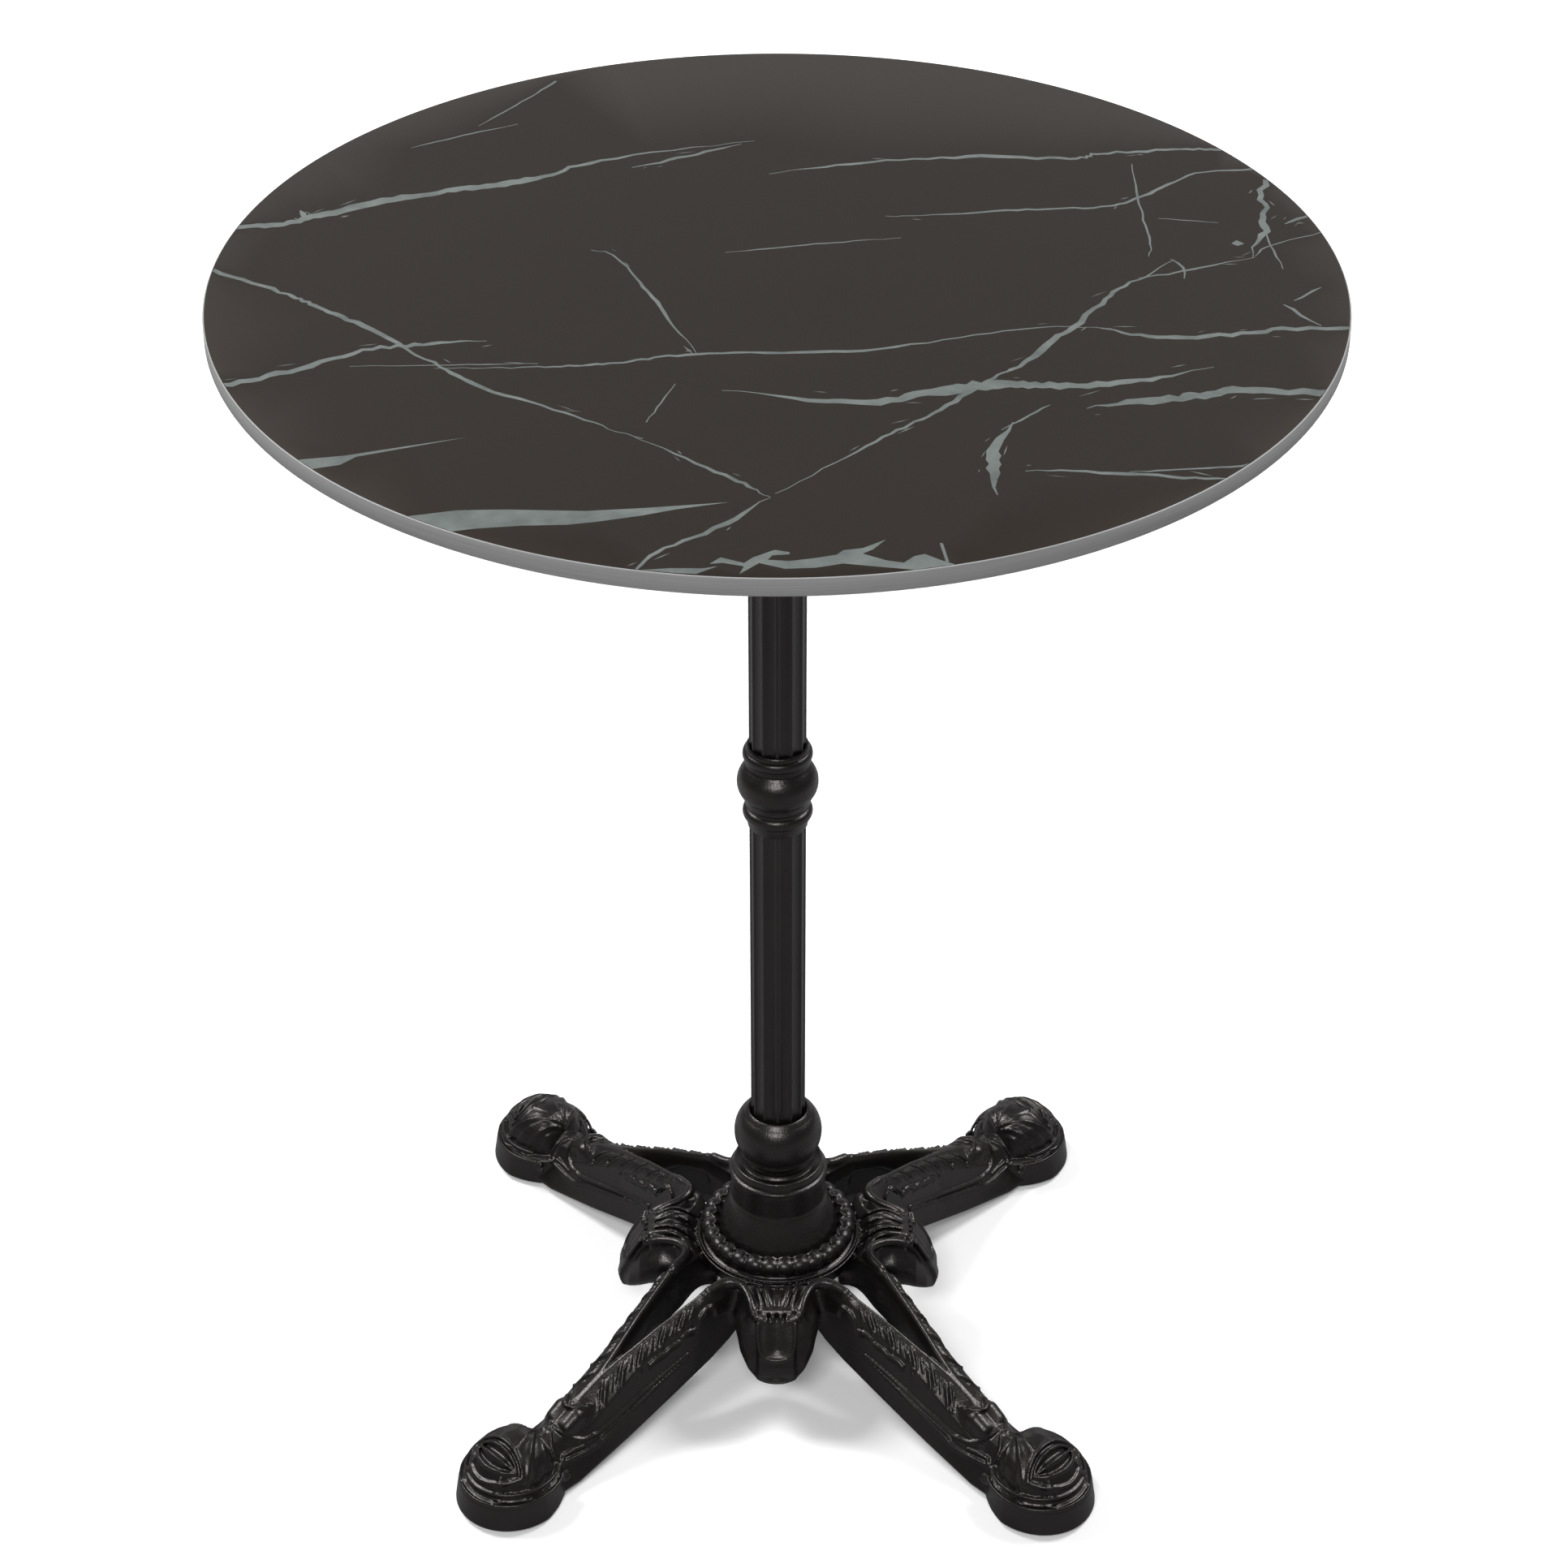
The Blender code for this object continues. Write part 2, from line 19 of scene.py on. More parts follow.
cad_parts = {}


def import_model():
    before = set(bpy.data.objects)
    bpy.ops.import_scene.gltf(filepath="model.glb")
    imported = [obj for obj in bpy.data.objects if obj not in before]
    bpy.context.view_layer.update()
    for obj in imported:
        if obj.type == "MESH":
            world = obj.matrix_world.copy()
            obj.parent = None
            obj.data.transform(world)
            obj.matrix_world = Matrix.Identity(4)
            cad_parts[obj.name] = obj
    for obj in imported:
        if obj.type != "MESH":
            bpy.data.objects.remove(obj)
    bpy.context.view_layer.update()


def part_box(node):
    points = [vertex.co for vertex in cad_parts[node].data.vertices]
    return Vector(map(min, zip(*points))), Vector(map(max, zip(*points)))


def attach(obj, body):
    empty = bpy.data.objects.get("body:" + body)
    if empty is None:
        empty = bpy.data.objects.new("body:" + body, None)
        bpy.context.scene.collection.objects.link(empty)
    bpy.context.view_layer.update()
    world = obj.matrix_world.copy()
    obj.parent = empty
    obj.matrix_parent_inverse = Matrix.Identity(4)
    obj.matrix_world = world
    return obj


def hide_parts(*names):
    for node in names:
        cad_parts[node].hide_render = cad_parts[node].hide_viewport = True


MM = 0.001
ROOT_2 = math.sqrt(2)


# ---------------------------------------------------------------- curves and tables


def table(pairs, at):
    """Straight-line interpolation in a table of (position, value) pairs."""
    positions, values = zip(*pairs)
    return np.interp(at, positions, values)


def spline(points, steps):
    """Points along a smooth curve through the given points (Catmull-Rom)."""
    points = [np.array(point, float) for point in points]
    ends = [2 * points[0] - points[1]] + points + [2 * points[-1] - points[-2]]
    out = []
    for a, b, c, d in zip(ends, ends[1:], ends[2:], ends[3:]):
        for k in range(steps):
            u = k / steps
            bend = (2 * a - 5 * b + 4 * c - d) * u * u + (3 * b - a - 3 * c + d) * u**3
            out.append(0.5 * (2 * b + (c - a) * u + bend))
    out.append(points[-1])
    return out


def arc(centre, radius, start, end, steps):
    """Points along an arc. radius is a pair, and the angles are in degrees."""
    out = []
    for k in range(steps + 1):
        angle = math.radians(start + (end - start) * k / steps)
        out.append((centre[0] + radius[0] * math.cos(angle), centre[1] + radius[1] * math.sin(angle)))
    return out


# ---------------------------------------------------------------- distance fields


def smooth_min(a, b, blend):
    """The nearer of two distances, with a fillet where they meet."""
    if blend <= 0:
        return np.minimum(a, b)
    share = np.clip(0.5 + 0.5 * (b - a) / blend, 0, 1)
    return b * (1 - share) + a * share - blend * share * (1 - share)


def smooth_max(a, b, blend):
    """The farther of two distances, rounded where they meet."""
    return -smooth_min(-a, -b, blend)


def polygon_distance(x, y, corners):
    """Signed distance to a closed outline. A corner's coordinates may be arrays."""
    nearest = None
    inside = None
    for (ax, ay), (bx, by) in zip(corners, corners[1:] + corners[:1]):
        ex, ey = bx - ax, by - ay
        px, py = x - ax, y - ay
        share = np.clip((px * ex + py * ey) / np.maximum(ex * ex + ey * ey, 1e-9), 0, 1)
        squared = (px - ex * share) ** 2 + (py - ey * share) ** 2
        crosses = ((ay > y) != (by > y)) & ((px * ey - ex * py) * np.sign(ey + 1e-12) < 0)
        nearest = squared if nearest is None else np.minimum(nearest, squared)
        inside = crosses if inside is None else inside ^ crosses
    return np.where(inside, -1.0, 1.0) * np.sqrt(nearest)


class Sculpt:
    """A distance field with eight-fold symmetry about the Z axis, in millimetres.

    Only the columns of points between the +X axis and the diagonal are worked out. `along`
    and `aside` are a point's distances along and beside the nearest of the X and Y axes;
    `reach` and `across` are the same for the nearest diagonal. A shape is a function of a
    place, which holds these arrays, the radius and the height, and gives distances.
    """

    FAR = 4.0
    EMPTY = 30.0
    PLAN = ("along", "aside", "reach", "across", "radius")

    def __init__(self, size, low, high, step):
        count = math.ceil(size / step)
        row, column = np.meshgrid(np.arange(count), np.arange(count), indexing="ij")
        wedge = row >= column
        self.step = step
        self.low = low
        self.count = count
        self.row, self.column = row[wedge], column[wedge]
        self.along = ((self.row + 0.5) * step)[:, None].astype(np.float32)
        self.aside = ((self.column + 0.5) * step)[:, None].astype(np.float32)
        self.reach = (self.along + self.aside) / ROOT_2
        self.across = (self.along - self.aside) / ROOT_2
        self.radius = np.hypot(self.along, self.aside)
        self.height = (low + np.arange(math.ceil((high - low) / step)) * step)[None, :].astype(np.float32)
        self.field = np.full((len(self.row), self.height.shape[1]), self.EMPTY, np.float32)

    def blank(self):
        """An empty field on the same grid."""
        other = copy.copy(self)
        other.field = np.full_like(self.field, self.EMPTY)
        return other

    def place(self, near):
        """The numbers of the chosen columns, and the coordinates there."""
        chosen = np.nonzero(near[:, 0])[0]
        plan = {name: getattr(self, name)[chosen] for name in self.PLAN}
        return chosen, SimpleNamespace(height=self.height, **plan)

    def merge(self, block, distance, blend, carve):
        """Joins a shape on, or takes it away."""
        if carve:
            self.field[block] = smooth_max(self.field[block], -distance, blend)
        else:
            self.field[block] = smooth_min(self.field[block], distance, blend)

    def add(self, near, shape, blend=0.0):
        chosen, p = self.place(near)
        self.merge(chosen, shape(p), blend, carve=False)

    def cut(self, near, shape, blend=0.0):
        chosen, p = self.place(near)
        self.merge(chosen, shape(p), blend, carve=True)

    def cord(self, points, radii, blend, on_axis=False, carve=False):
        """Lays a round cord along a curve, or carves a groove of its shape.

        Points are (reach, across, height), or (along, aside, height) with on_axis.
        """
        points = np.array(points, float)
        radii = np.interp(np.linspace(0, 1, len(points)), np.linspace(0, 1, len(radii)), radii)
        first, second = (self.along, self.aside) if on_axis else (self.reach, self.across)
        margin = radii.max() + blend + 1.5
        low, high = points.min(0) - margin, points.max(0) + margin
        near = (first > low[0]) & (first < high[0]) & (second > low[1]) & (second < high[1])
        chosen = np.nonzero(near[:, 0])[0]
        levels = np.nonzero((self.height[0] > low[2]) & (self.height[0] < high[2]))[0]
        if not len(chosen) or not len(levels):
            return
        block = np.ix_(chosen, levels)
        u, v, w = first[chosen], second[chosen], self.height[:, levels]
        distance = None
        for a, b, thick, thin in zip(points, points[1:], radii, radii[1:]):
            run = b - a
            length = max(float(run @ run), 1e-9)
            du, dv, dw = u - a[0], v - a[1], w - a[2]
            share = np.clip((du * run[0] + dv * run[1] + dw * run[2]) / length, 0, 1)
            du, dv, dw = du - share * run[0], dv - share * run[1], dw - share * run[2]
            gap = np.sqrt(du**2 + dv**2 + dw**2) - (thick + (thin - thick) * share)
            distance = gap if distance is None else np.minimum(distance, gap)
        self.merge(block, distance, blend, carve)

    def mesh(self, name):
        """The field's surface as a closed, smooth-shaded mesh object in metres."""
        quarter = np.empty((self.count, self.count, self.height.shape[1]), np.float32)
        field = np.clip(self.field, -self.FAR, self.FAR)
        quarter[self.row, self.column] = field
        quarter[self.column, self.row] = field
        half = np.concatenate([quarter[::-1], quarter])
        whole = np.concatenate([half[:, ::-1], half], axis=1)
        grid = openvdb.FloatGrid(background=self.FAR)
        grid.copyFromArray(np.ascontiguousarray(whole))
        points, quads = grid.convertToQuads(isovalue=0.0)
        offset = (0.5 - self.count) * self.step
        points = points * self.step + np.array([offset, offset, self.low])
        mesh = bpy.data.meshes.new(name)
        mesh.vertices.add(len(points))
        mesh.vertices.foreach_set("co", (points * MM).astype(np.float32).ravel())
        mesh.loops.add(quads.size)
        mesh.polygons.add(len(quads))
        mesh.loops.foreach_set("vertex_index", quads[:, ::-1].astype(np.int32).ravel())
        mesh.polygons.foreach_set("loop_start", np.arange(0, quads.size, 4, dtype=np.int32))
        mesh.update(calc_edges=True)
        mesh.validate()
        mesh.shade_smooth()
        return link(name, mesh)


def link(name, data):
    """A new object in the scene."""
    obj = bpy.data.objects.new(name, data)
    bpy.context.scene.collection.objects.link(obj)
    return obj


# ---------------------------------------------------------------- the frame's sizes


def levels_of(node):
    """The heights of a node's bottom and top, in millimetres."""
    low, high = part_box(node)
    return 1000 * low.z, 1000 * high.z


def centre_of(node):
    """The middle of a node in plan, in millimetres."""
    low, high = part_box(node)
    return 500 * (low.x + high.x), 500 * (low.y + high.y)


def finish_piece(piece, finish, node, body="table"):
    """Gives a piece its material, and puts it on its body in the place of a CAD node."""
    material, slot = finish
    piece.data.materials.clear()
    piece.data.materials.append(material)
    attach(piece, body)
    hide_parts(node)


# ---------------------------------------------------------------- the base casting

BASE_STEP = 0.8
RAIL_START, RAIL_END = 44, 207

# The legs' rails. Each pair is a distance from the column's axis and the size there.
RAIL_BOTTOM = ((44, 47), (56, 42), (64, 37.2), (80, 31), (110, 23), (150, 13), (190, 5))
RAIL_CREST = (
    (44, 64), (50, 71.5), (56, 78.5), (62, 81.5), (80, 79), (110, 68.5), (150, 51), (190, 35), (207, 32),
)
RAIL_FACE = ((44, 22), (110, 23), (190, 24.5))
CREST_OFFSET = ((44, 18), (62, 18), (90, 12.5), (140, 2.5), (150, 1))
SHOULDER_OFFSET = ((62, 21.5), (90, 19.5), (130, 14), (190, 14.5))
SHOULDER_DROP = ((62, 6), (130, 6), (190, 12))
VALLEY_DEPTH = ((118, 14), (146, 1.5), (207, 0.5))
SLOT_HALF_WIDTH = ((44, 14.5), (62, 14), (90, 9), (126, 2.4))
SLOT_END = 130
EDGE_ROUNDING = 1.6


def rail_section(reach):
    """The right half of a leg's cross-section: crest, slope, shoulder, belly, face and foot."""
    low = table(RAIL_BOTTOM, reach)
    high = table(RAIL_CREST, reach)
    face = table(RAIL_FACE, reach)
    crest = table(CREST_OFFSET, reach)
    shoulder = table(SHOULDER_OFFSET, reach)
    drop = table(SHOULDER_DROP, reach)
    belly = face + 0.62 * (shoulder - face)
    return [
        (crest, high),
        (0.5 * (crest + shoulder), high - 0.33 * drop),
        (shoulder, high - drop),
        (belly, low + 0.55 * (high - drop - low)),
        (face, low),
    ]


def on_rail(reach, level):
    """A point on a rail's outside. level runs 0 to 1 from crest to shoulder, 1 to 2 to the foot."""
    levels = (0, 0.5, 1, 1.5, 2)
    offsets, heights = zip(*rail_section(reach))
    return reach, float(np.interp(level, levels, offsets)), float(np.interp(level, levels, heights))


def on_face(reach, height):
    """The point of a rail's outer face at this height."""
    shoulder, belly, face = rail_section(reach)[2:]
    heights = (face[1], belly[1], shoulder[1])
    return reach, float(np.interp(height, heights, (face[0], belly[0], shoulder[0]))), height


def rails(sculpt):
    """The legs: two upright rails side by side that close up towards the foot."""

    def solid(p):
        crest, slope, shoulder, belly, face = rail_section(p.reach)
        inset = EDGE_ROUNDING
        right = [
            (face[0] - inset, face[1] + inset),
            (belly[0] - inset, belly[1]),
            (shoulder[0] - inset, shoulder[1] - 0.6 * inset),
            (slope[0] - 0.4 * inset, slope[1] - inset),
            (np.maximum(crest[0] - 0.1 * inset, 0.2), crest[1] - inset),
        ]
        valley = crest[1] - table(VALLEY_DEPTH, p.reach) - inset
        corners = right + [(0 * valley, valley)] + [(-x, y) for x, y in reversed(right)]
        body = 0.93 * (polygon_distance(p.across, p.height, corners) - inset)
        ends = np.maximum(RAIL_START - p.reach, p.reach - RAIL_END)
        return np.maximum(body, ends)

    def slot(p):
        wedge = 0.97 * (p.across - table(SLOT_HALF_WIDTH, p.reach))
        return smooth_max(wedge, p.reach - SLOT_END, 6)

    near = (sculpt.reach > RAIL_START - 5) & (sculpt.reach < RAIL_END + 6) & (sculpt.across < 32)
    leg = sculpt.blank()
    leg.add(near, solid)
    leg.cut((sculpt.reach > 30) & (sculpt.reach < 140) & (sculpt.across < 20), slot, blend=3)
    hollow_legs(leg)
    sculpt.field = smooth_min(sculpt.field, leg.field, 5)


# The hollow inside a leg: half its width, and how thick the leg is above it.
HOLLOW_HALF_WIDTH = ((44, 18.2), (85, 18.2), (105, 16.5), (118, 15.2), (184, 15.2))
ROOF_THICKNESS = ((60, 13), (100, 11), (118, 19))
HOLLOW_START, HOLLOW_END = 40, 186


def hollow_legs(sculpt):
    """The legs are shells: they are hollow below, and near the hub the hollow opens into the slot."""

    def hollow(p):
        half = table(HOLLOW_HALF_WIDTH, p.reach)
        splay = np.clip(table(RAIL_BOTTOM, p.reach) + 12 - p.height, 0, 12)
        half = half + table(((90, 0.24), (110, 0)), p.reach) * splay
        roof = table(RAIL_CREST, p.reach) - table(ROOF_THICKNESS, p.reach)
        sides = p.across - half + 0.05 * np.maximum(p.height - 25, 0)
        ends = np.maximum(HOLLOW_START - p.reach, p.reach - HOLLOW_END)
        return smooth_max(smooth_max(sides, p.height - roof, 6), ends, 6)

    sculpt.cut((sculpt.reach > 38) & (sculpt.reach < 190) & (sculpt.across < 26), hollow, blend=1.5)


FEATHER_TIPS = (101, 115, 130.5, 145, 159.5)
FEATHER_LEAN = 9
# Lines in relief along a rail's face, as (distance from the column's axis, height).
SCALLOPS = (
    (74, 63.5), (74.5, 69), (78, 72.5), (83, 71.5), (87.5, 67), (90, 61.5), (94.5, 62.5), (99.5, 61.5),
    (102, 58.5), (109, 57.5), (113.5, 55), (119, 54.5), (124.5, 52),
)
UPPER_HEM = ((97.5, 46.5), (115, 41.5), (130, 36.5), (142, 33), (155, 29.5), (168, 26.3), (172, 26.3))
LOWER_HEM = (
    (97.5, 44.5), (116, 38.3), (130, 33), (143, 28.6), (163, 22.8), (170, 20), (180, 19), (195, 19.5),
    (200, 18.5),
)


def down_rail(start, run, top, drop, steps):
    """A slanting line down a rail's side, from this distance from the axis and this level."""
    return [on_rail(start + run * u, top + drop * u) for u in np.linspace(0, 1, steps)]


def feathering(sculpt):
    """The relief on the rails: leaf barbs with a bead at each tip, a scalloped edge, a double line."""
    for tip in FEATHER_TIPS:
        root = tip - FEATHER_LEAN
        low = 1.12 if tip < 140 else 0.95
        sculpt.cord(down_rail(root, FEATHER_LEAN, 0.3, low - 0.35, 5), [0.4, 1.3, 0.7], 0.4)
        for shift, short in ((-5.8, 0.5), (-3.2, 0.62), (3.4, 0.5), (5.8, 0.38)):
            barb = down_rail(root + shift, 0.8 * FEATHER_LEAN, 0.3, low - short, 4)
            sculpt.cord(barb, [0.4, 1.0, 0.5], 0.3)
        bead = on_rail(tip + 0.6, low)
        sculpt.cord([bead, bead], [1.2], 0.3)
        valley = down_rail(root + 1.9, FEATHER_LEAN, 0.25, low - 0.45, 4)
        sculpt.cord(valley, [0.6, 1.2, 0.6], 0.5, carve=True)
    for line, thick in ((SCALLOPS, 1.5), (UPPER_HEM, 1.35), (LOWER_HEM, 1.35)):
        proud = [np.add(on_face(*point), (0, 0.5, 0)) for point in line]
        sculpt.cord(spline(proud, 3), [0.8 * thick, thick, thick], 0.3)
    between = [on_face(reach, 45.4 - 0.305 * (reach - 97.5)) for reach in np.linspace(104, 168, 9)]
    sculpt.cord(between, [0.3, 0.6, 0.8], 0.5, carve=True)
    under_scallops = [on_face(reach, height - 2.8) for reach, height in SCALLOPS[3:]]
    sculpt.cord(spline(under_scallops, 3), [1.1, 0.7], 0.8, carve=True)


def cuffs(sculpt):
    """Where a leg enters its foot: a pointed knob, lines across the leg and a fan of flutes."""
    sculpt.cord([(170, 4.5, 36.5), (176, 5.5, 36), (183, 5.5, 33)], [5.4, 6.2, 5.6], 3.0)
    sculpt.cord([(168, 8, 40), (172, 6.5, 42.4), (176.5, 3, 42.8), (178, 0, 42.6)], [1.3, 1.6, 1.5], 0.9)
    tufts = [((169.5, 10.5, 37), (174, 12.5, 33.5)), ((173, 10, 37.5), (177.5, 12, 34))]
    tufts.append(((167, 7, 42), (163, 10.5, 39)))
    for start, end in tufts:
        sculpt.cord([start, end], [1.0, 0.6], 0.4)
    front = ((178, 1.15), (183, 0.9), (188, 0.5), (190, 0.05))
    back = ((197, 1.15), (199, 0.9), (198, 0.5), (194, 0.1))
    for foot, line in (((172, 26.3), front), ((194, 23), back)):
        sculpt.cord(spline([on_face(*foot)] + [on_rail(*point) for point in line], 4), [1.3], 0.5)
    sculpt.cord([on_face(180, 22.5), on_face(187, 22.8), on_face(194, 23)], [1.1], 0.5)


# The feet: a horseshoe skirt with a claw on it. Each pair is a height and how far the outline is
# drawn in there.
SOLE_RADIUS, SOLE_HEEL = 35, 31
SOLE_SQUEEZE = 0.94
SKIRT_INSET = ((2, 0.6), (4, 0), (18.5, 2.2), (20, 3), (21.5, 5))
CLAW_INSET = (
    (12, 3.6), (18, 4.6), (24, 6.2), (30, 8.4), (35, 11), (39, 14.5), (42.5, 19), (45, 24), (46.4, 30),
    (47, 36),
)
CLAW_TOP = 47.5
CLAW_EYE = 18
LEDGE = 20.5
CLAW_LEAN = 0.2
CLAW_ROOT = 202
LOBE_ANGLES = (20, 43, 68)


def foot_edge(foot_reach, reach, across, height):
    """Distance from the sole's outline, which sets back a little with height above the ledge."""
    u = reach - foot_reach + CLAW_LEAN * np.maximum(height - CLAW_EYE, 0)
    squeeze = SOLE_SQUEEZE * (1 - 0.16 * np.clip(-u / SOLE_HEEL, 0, 1))
    return smooth_max(np.hypot(u, across / squeeze) - SOLE_RADIUS, -u - SOLE_HEEL, 5)


def claw_inset(reach, across, height):
    """How far the claw's surface is drawn in: each lobe outwards from the middle is lower."""
    inset = table(CLAW_INSET, height)
    angle = np.degrees(np.arctan2(across, reach - CLAW_ROOT))
    for limit in LOBE_ANGLES:
        inset = inset + 1.3 / (1 + np.exp(np.clip((limit - angle) * 0.9, -30, 30)))
        inset = inset - 1.1 * np.exp(-(((angle - limit + 3.5) / 2.6) ** 2))
        inset = inset + 0.6 * np.exp(-(((angle - limit - 2) / 2) ** 2))
    return inset - 0.6


def feet(sculpt, foot_reach):
    """The four feet, hollow below, with the claw's relief on top."""

    def skirt(p):
        edge = foot_edge(foot_reach, p.reach, p.across, p.height) + table(SKIRT_INSET, p.height)
        return smooth_max(smooth_max(edge, p.height - LEDGE - 0.6, 1.6), 2.6 - p.height, 1)

    def claw(p):
        edge = foot_edge(foot_reach, p.reach, p.across, p.height) + claw_inset(p.reach, p.across, p.height)
        return np.maximum(np.maximum(0.72 * edge, 0.9 * (p.height - CLAW_TOP)), 10 - p.height)

    def pocket(p):
        edge = foot_edge(foot_reach, p.reach, p.across, 0 * p.height)
        return smooth_max(edge + 6 + 0.35 * p.height, p.height - 24, 4)

    near = (sculpt.reach > 180) & (sculpt.across < 42)
    sculpt.add(near, claw, blend=1.2)
    sculpt.add(near, skirt, blend=0.8)
    claw_relief(sculpt, foot_reach)
    sculpt.cut(near, pocket, blend=1.5)


def on_claw(foot_reach, across, lift, proud):
    """The claw's surface where a ray leaves a line low inside it, rising at the angle lift."""
    tilt = math.radians(lift)
    for distance in np.arange(50, 0, -0.25):
        reach = foot_reach - 2 + distance * math.cos(tilt)
        height = CLAW_EYE + distance * math.sin(tilt)
        edge = foot_edge(foot_reach, reach, across, height) + claw_inset(reach, across, height)
        if edge < 0 and height < CLAW_TOP:
            break
    return reach + proud * math.cos(tilt), across, height + proud * math.sin(tilt)


def round_claw(foot_reach, height, inset, end):
    """A level line round the foot, drawn in from the sole's outline, from the toe to end degrees."""
    line = []
    for angle in np.linspace(0, end, 28):
        turn = math.radians(angle)
        radius = SOLE_RADIUS - inset
        back = foot_reach - CLAW_LEAN * max(height - CLAW_EYE, 0)
        line.append((back + radius * math.cos(turn), SOLE_SQUEEZE * radius * math.sin(turn), height))
    return line


def claw_relief(sculpt, foot_reach):
    """The leaf on the claw's front with its midrib, the lids round it, the rims and two scrolls."""

    def lid(half_long, half_tall, middle, side, thick, blend, carve=False):
        across = np.linspace(0, half_long, 12)
        bow = np.sqrt(np.maximum(0, 1 - (across / half_long) ** 1.8))
        line = [on_claw(foot_reach, a, middle + side * half_tall * b, 0.2) for a, b in zip(across, bow)]
        for _ in range(2):
            inner = [tuple(np.mean(line[i - 1 : i + 2], axis=0)) for i in range(1, len(line) - 1)]
            line = [line[0]] + inner + [line[-1]]
        sculpt.cord(line, [thick, 0.8 * thick], blend, carve=carve)

    for middle, half_tall, side, thick in ((57, 7, 1, 2.2), (56, 8, -1, 2.0)):
        lid(15, half_tall, middle, side, thick, 1.2, carve=True)
    for side in (1, -1):
        lid(16.5, 15, 57, side, 1.35, 0.7)
    lid(15, 0.5, 57, 1, 1.0, 0.5)
    lid(20, 25, 55, 1, 1.6, 1.2)
    lid(20, 31, 55, -1, 1.6, 0.8)
    lid(18.3, 20, 56, 1, 1.2, 0.8, carve=True)
    sculpt.cord(round_claw(foot_reach, LEDGE + 5.5, 6.0, 118), [1.2, 1.2, 0.9], 0.6)
    sculpt.cord(round_claw(foot_reach, LEDGE + 2.8, 5.2, 118), [1.4], 0.8, carve=True)
    sculpt.cord(round_claw(foot_reach, LEDGE - 0.2, 3.1, 128), [1.0], 0.3)
    for k, radius in enumerate((3.4, 1.8)):
        scroll = []
        for u in np.linspace(-2.6, 2.4, 11):
            scroll.append((201.5 + radius * math.cos(u), 24.2 - 0.5 * k, 18 + radius * math.sin(u)))
        sculpt.cord(scroll, [1.2, 0.9], 0.8)


# The knees. Each pair is a distance from the column's axis and the size there.
KNEE_START, KNEE_END = 38, 101
KNEE_WIDTH = ((40, 26), (74, 25.4), (86, 22.6), (93, 18), (98, 11.5), (100.4, 5), (101.4, 0.5))
KNEE_KEEL = ((40, 48), (70, 40.5), (90, 34.6), (97, 34), (101, 40))
KNEE_CROWN = (
    (36, 60), (48.6, 68.5), (52, 72), (56, 76.5), (62, 80.4), (72, 81), (80.5, 78.6), (86, 73.4), (92, 63),
    (99, 49), (101, 42),
)
TONGUE_WIDTH = ((40, 19), (50, 17.5), (62, 12.6), (76, 10.6), (92, 11.6), (101, 11))
# Half of the web that joins a knee to its legs, seen from above, and the arched ridge along its edge.
WEB_PLAN = [
    (66, 45), (60, 37.5), (57.5, 30), (58.5, 24.5), (62, 20.5), (69, 17.5), (78, 16), (78, 0), (40, 0),
    (40, 18), (52, 33), (62, 44),
]
ARCH = [
    (63.5, 41.5, 79.5), (57.5, 33.5, 80.6), (57, 26.5, 81), (61, 20.8, 80.5), (68, 17.2, 79.6),
    (76, 15, 77.5), (82.5, 13.8, 73.5),
]


def knees(sculpt):
    """The four noses between the legs: a bowl-shaped apron with a raised tongue down its middle."""

    def apron(p):
        half = table(KNEE_WIDTH, p.along)
        keel = table(KNEE_KEEL, p.along)
        crown = np.maximum(table(KNEE_CROWN, p.along) - 5.5, keel + 2)
        waist = keel + 0.6 * (crown - keel)
        tall = np.where(p.height < waist, waist - keel, crown - waist)
        shape = np.hypot(p.aside / half, (p.height - waist) / tall) - 1
        body = shape * np.minimum(half, tall) * 0.8
        return np.maximum(body, np.maximum(0.8 * (p.along - KNEE_END), KNEE_START - p.along))

    def tongue(p):
        crown = table(KNEE_CROWN, p.along)
        sides = p.aside - table(TONGUE_WIDTH, p.along)
        slab = smooth_max(0.7 * (p.height - crown), sides, 3)
        front = smooth_max(slab, 0.8 * (p.along - 100.4), 2)
        below = table(KNEE_KEEL, p.along) + 4 - p.height
        return np.maximum(smooth_max(front, below, 3), KNEE_START - p.along)

    def under(p):
        x, y, z = (p.along - 74) / 17, p.aside / 17, (p.height - 36) / 17
        return 12 * (np.sqrt(x**2 + y**2 + z**2) - 1)

    def web(p):
        top = table(((46, 66), (51, 68.5), (57, 76)), p.radius)
        slab = np.maximum(54 - p.height, 0.7 * (p.height - top))
        return np.maximum(polygon_distance(p.along, p.aside, WEB_PLAN), slab)

    near = (sculpt.along > 30) & (sculpt.along < 110) & (sculpt.aside < 50)
    sculpt.add(near, apron, blend=6)
    sculpt.add(near, tongue, blend=2.2)
    sculpt.cut(near, under, blend=2)
    sculpt.add(near, web, blend=5)
    sculpt.cord(spline(ARCH, 5), [2.6, 3.0, 2.6, 2.2, 1.6], 2.2, on_axis=True)
    tongue_relief(sculpt)


def on_tongue(aside, along):
    """A point on a knee's crown line, beside the middle."""
    return along, aside, float(table(KNEE_CROWN, along))


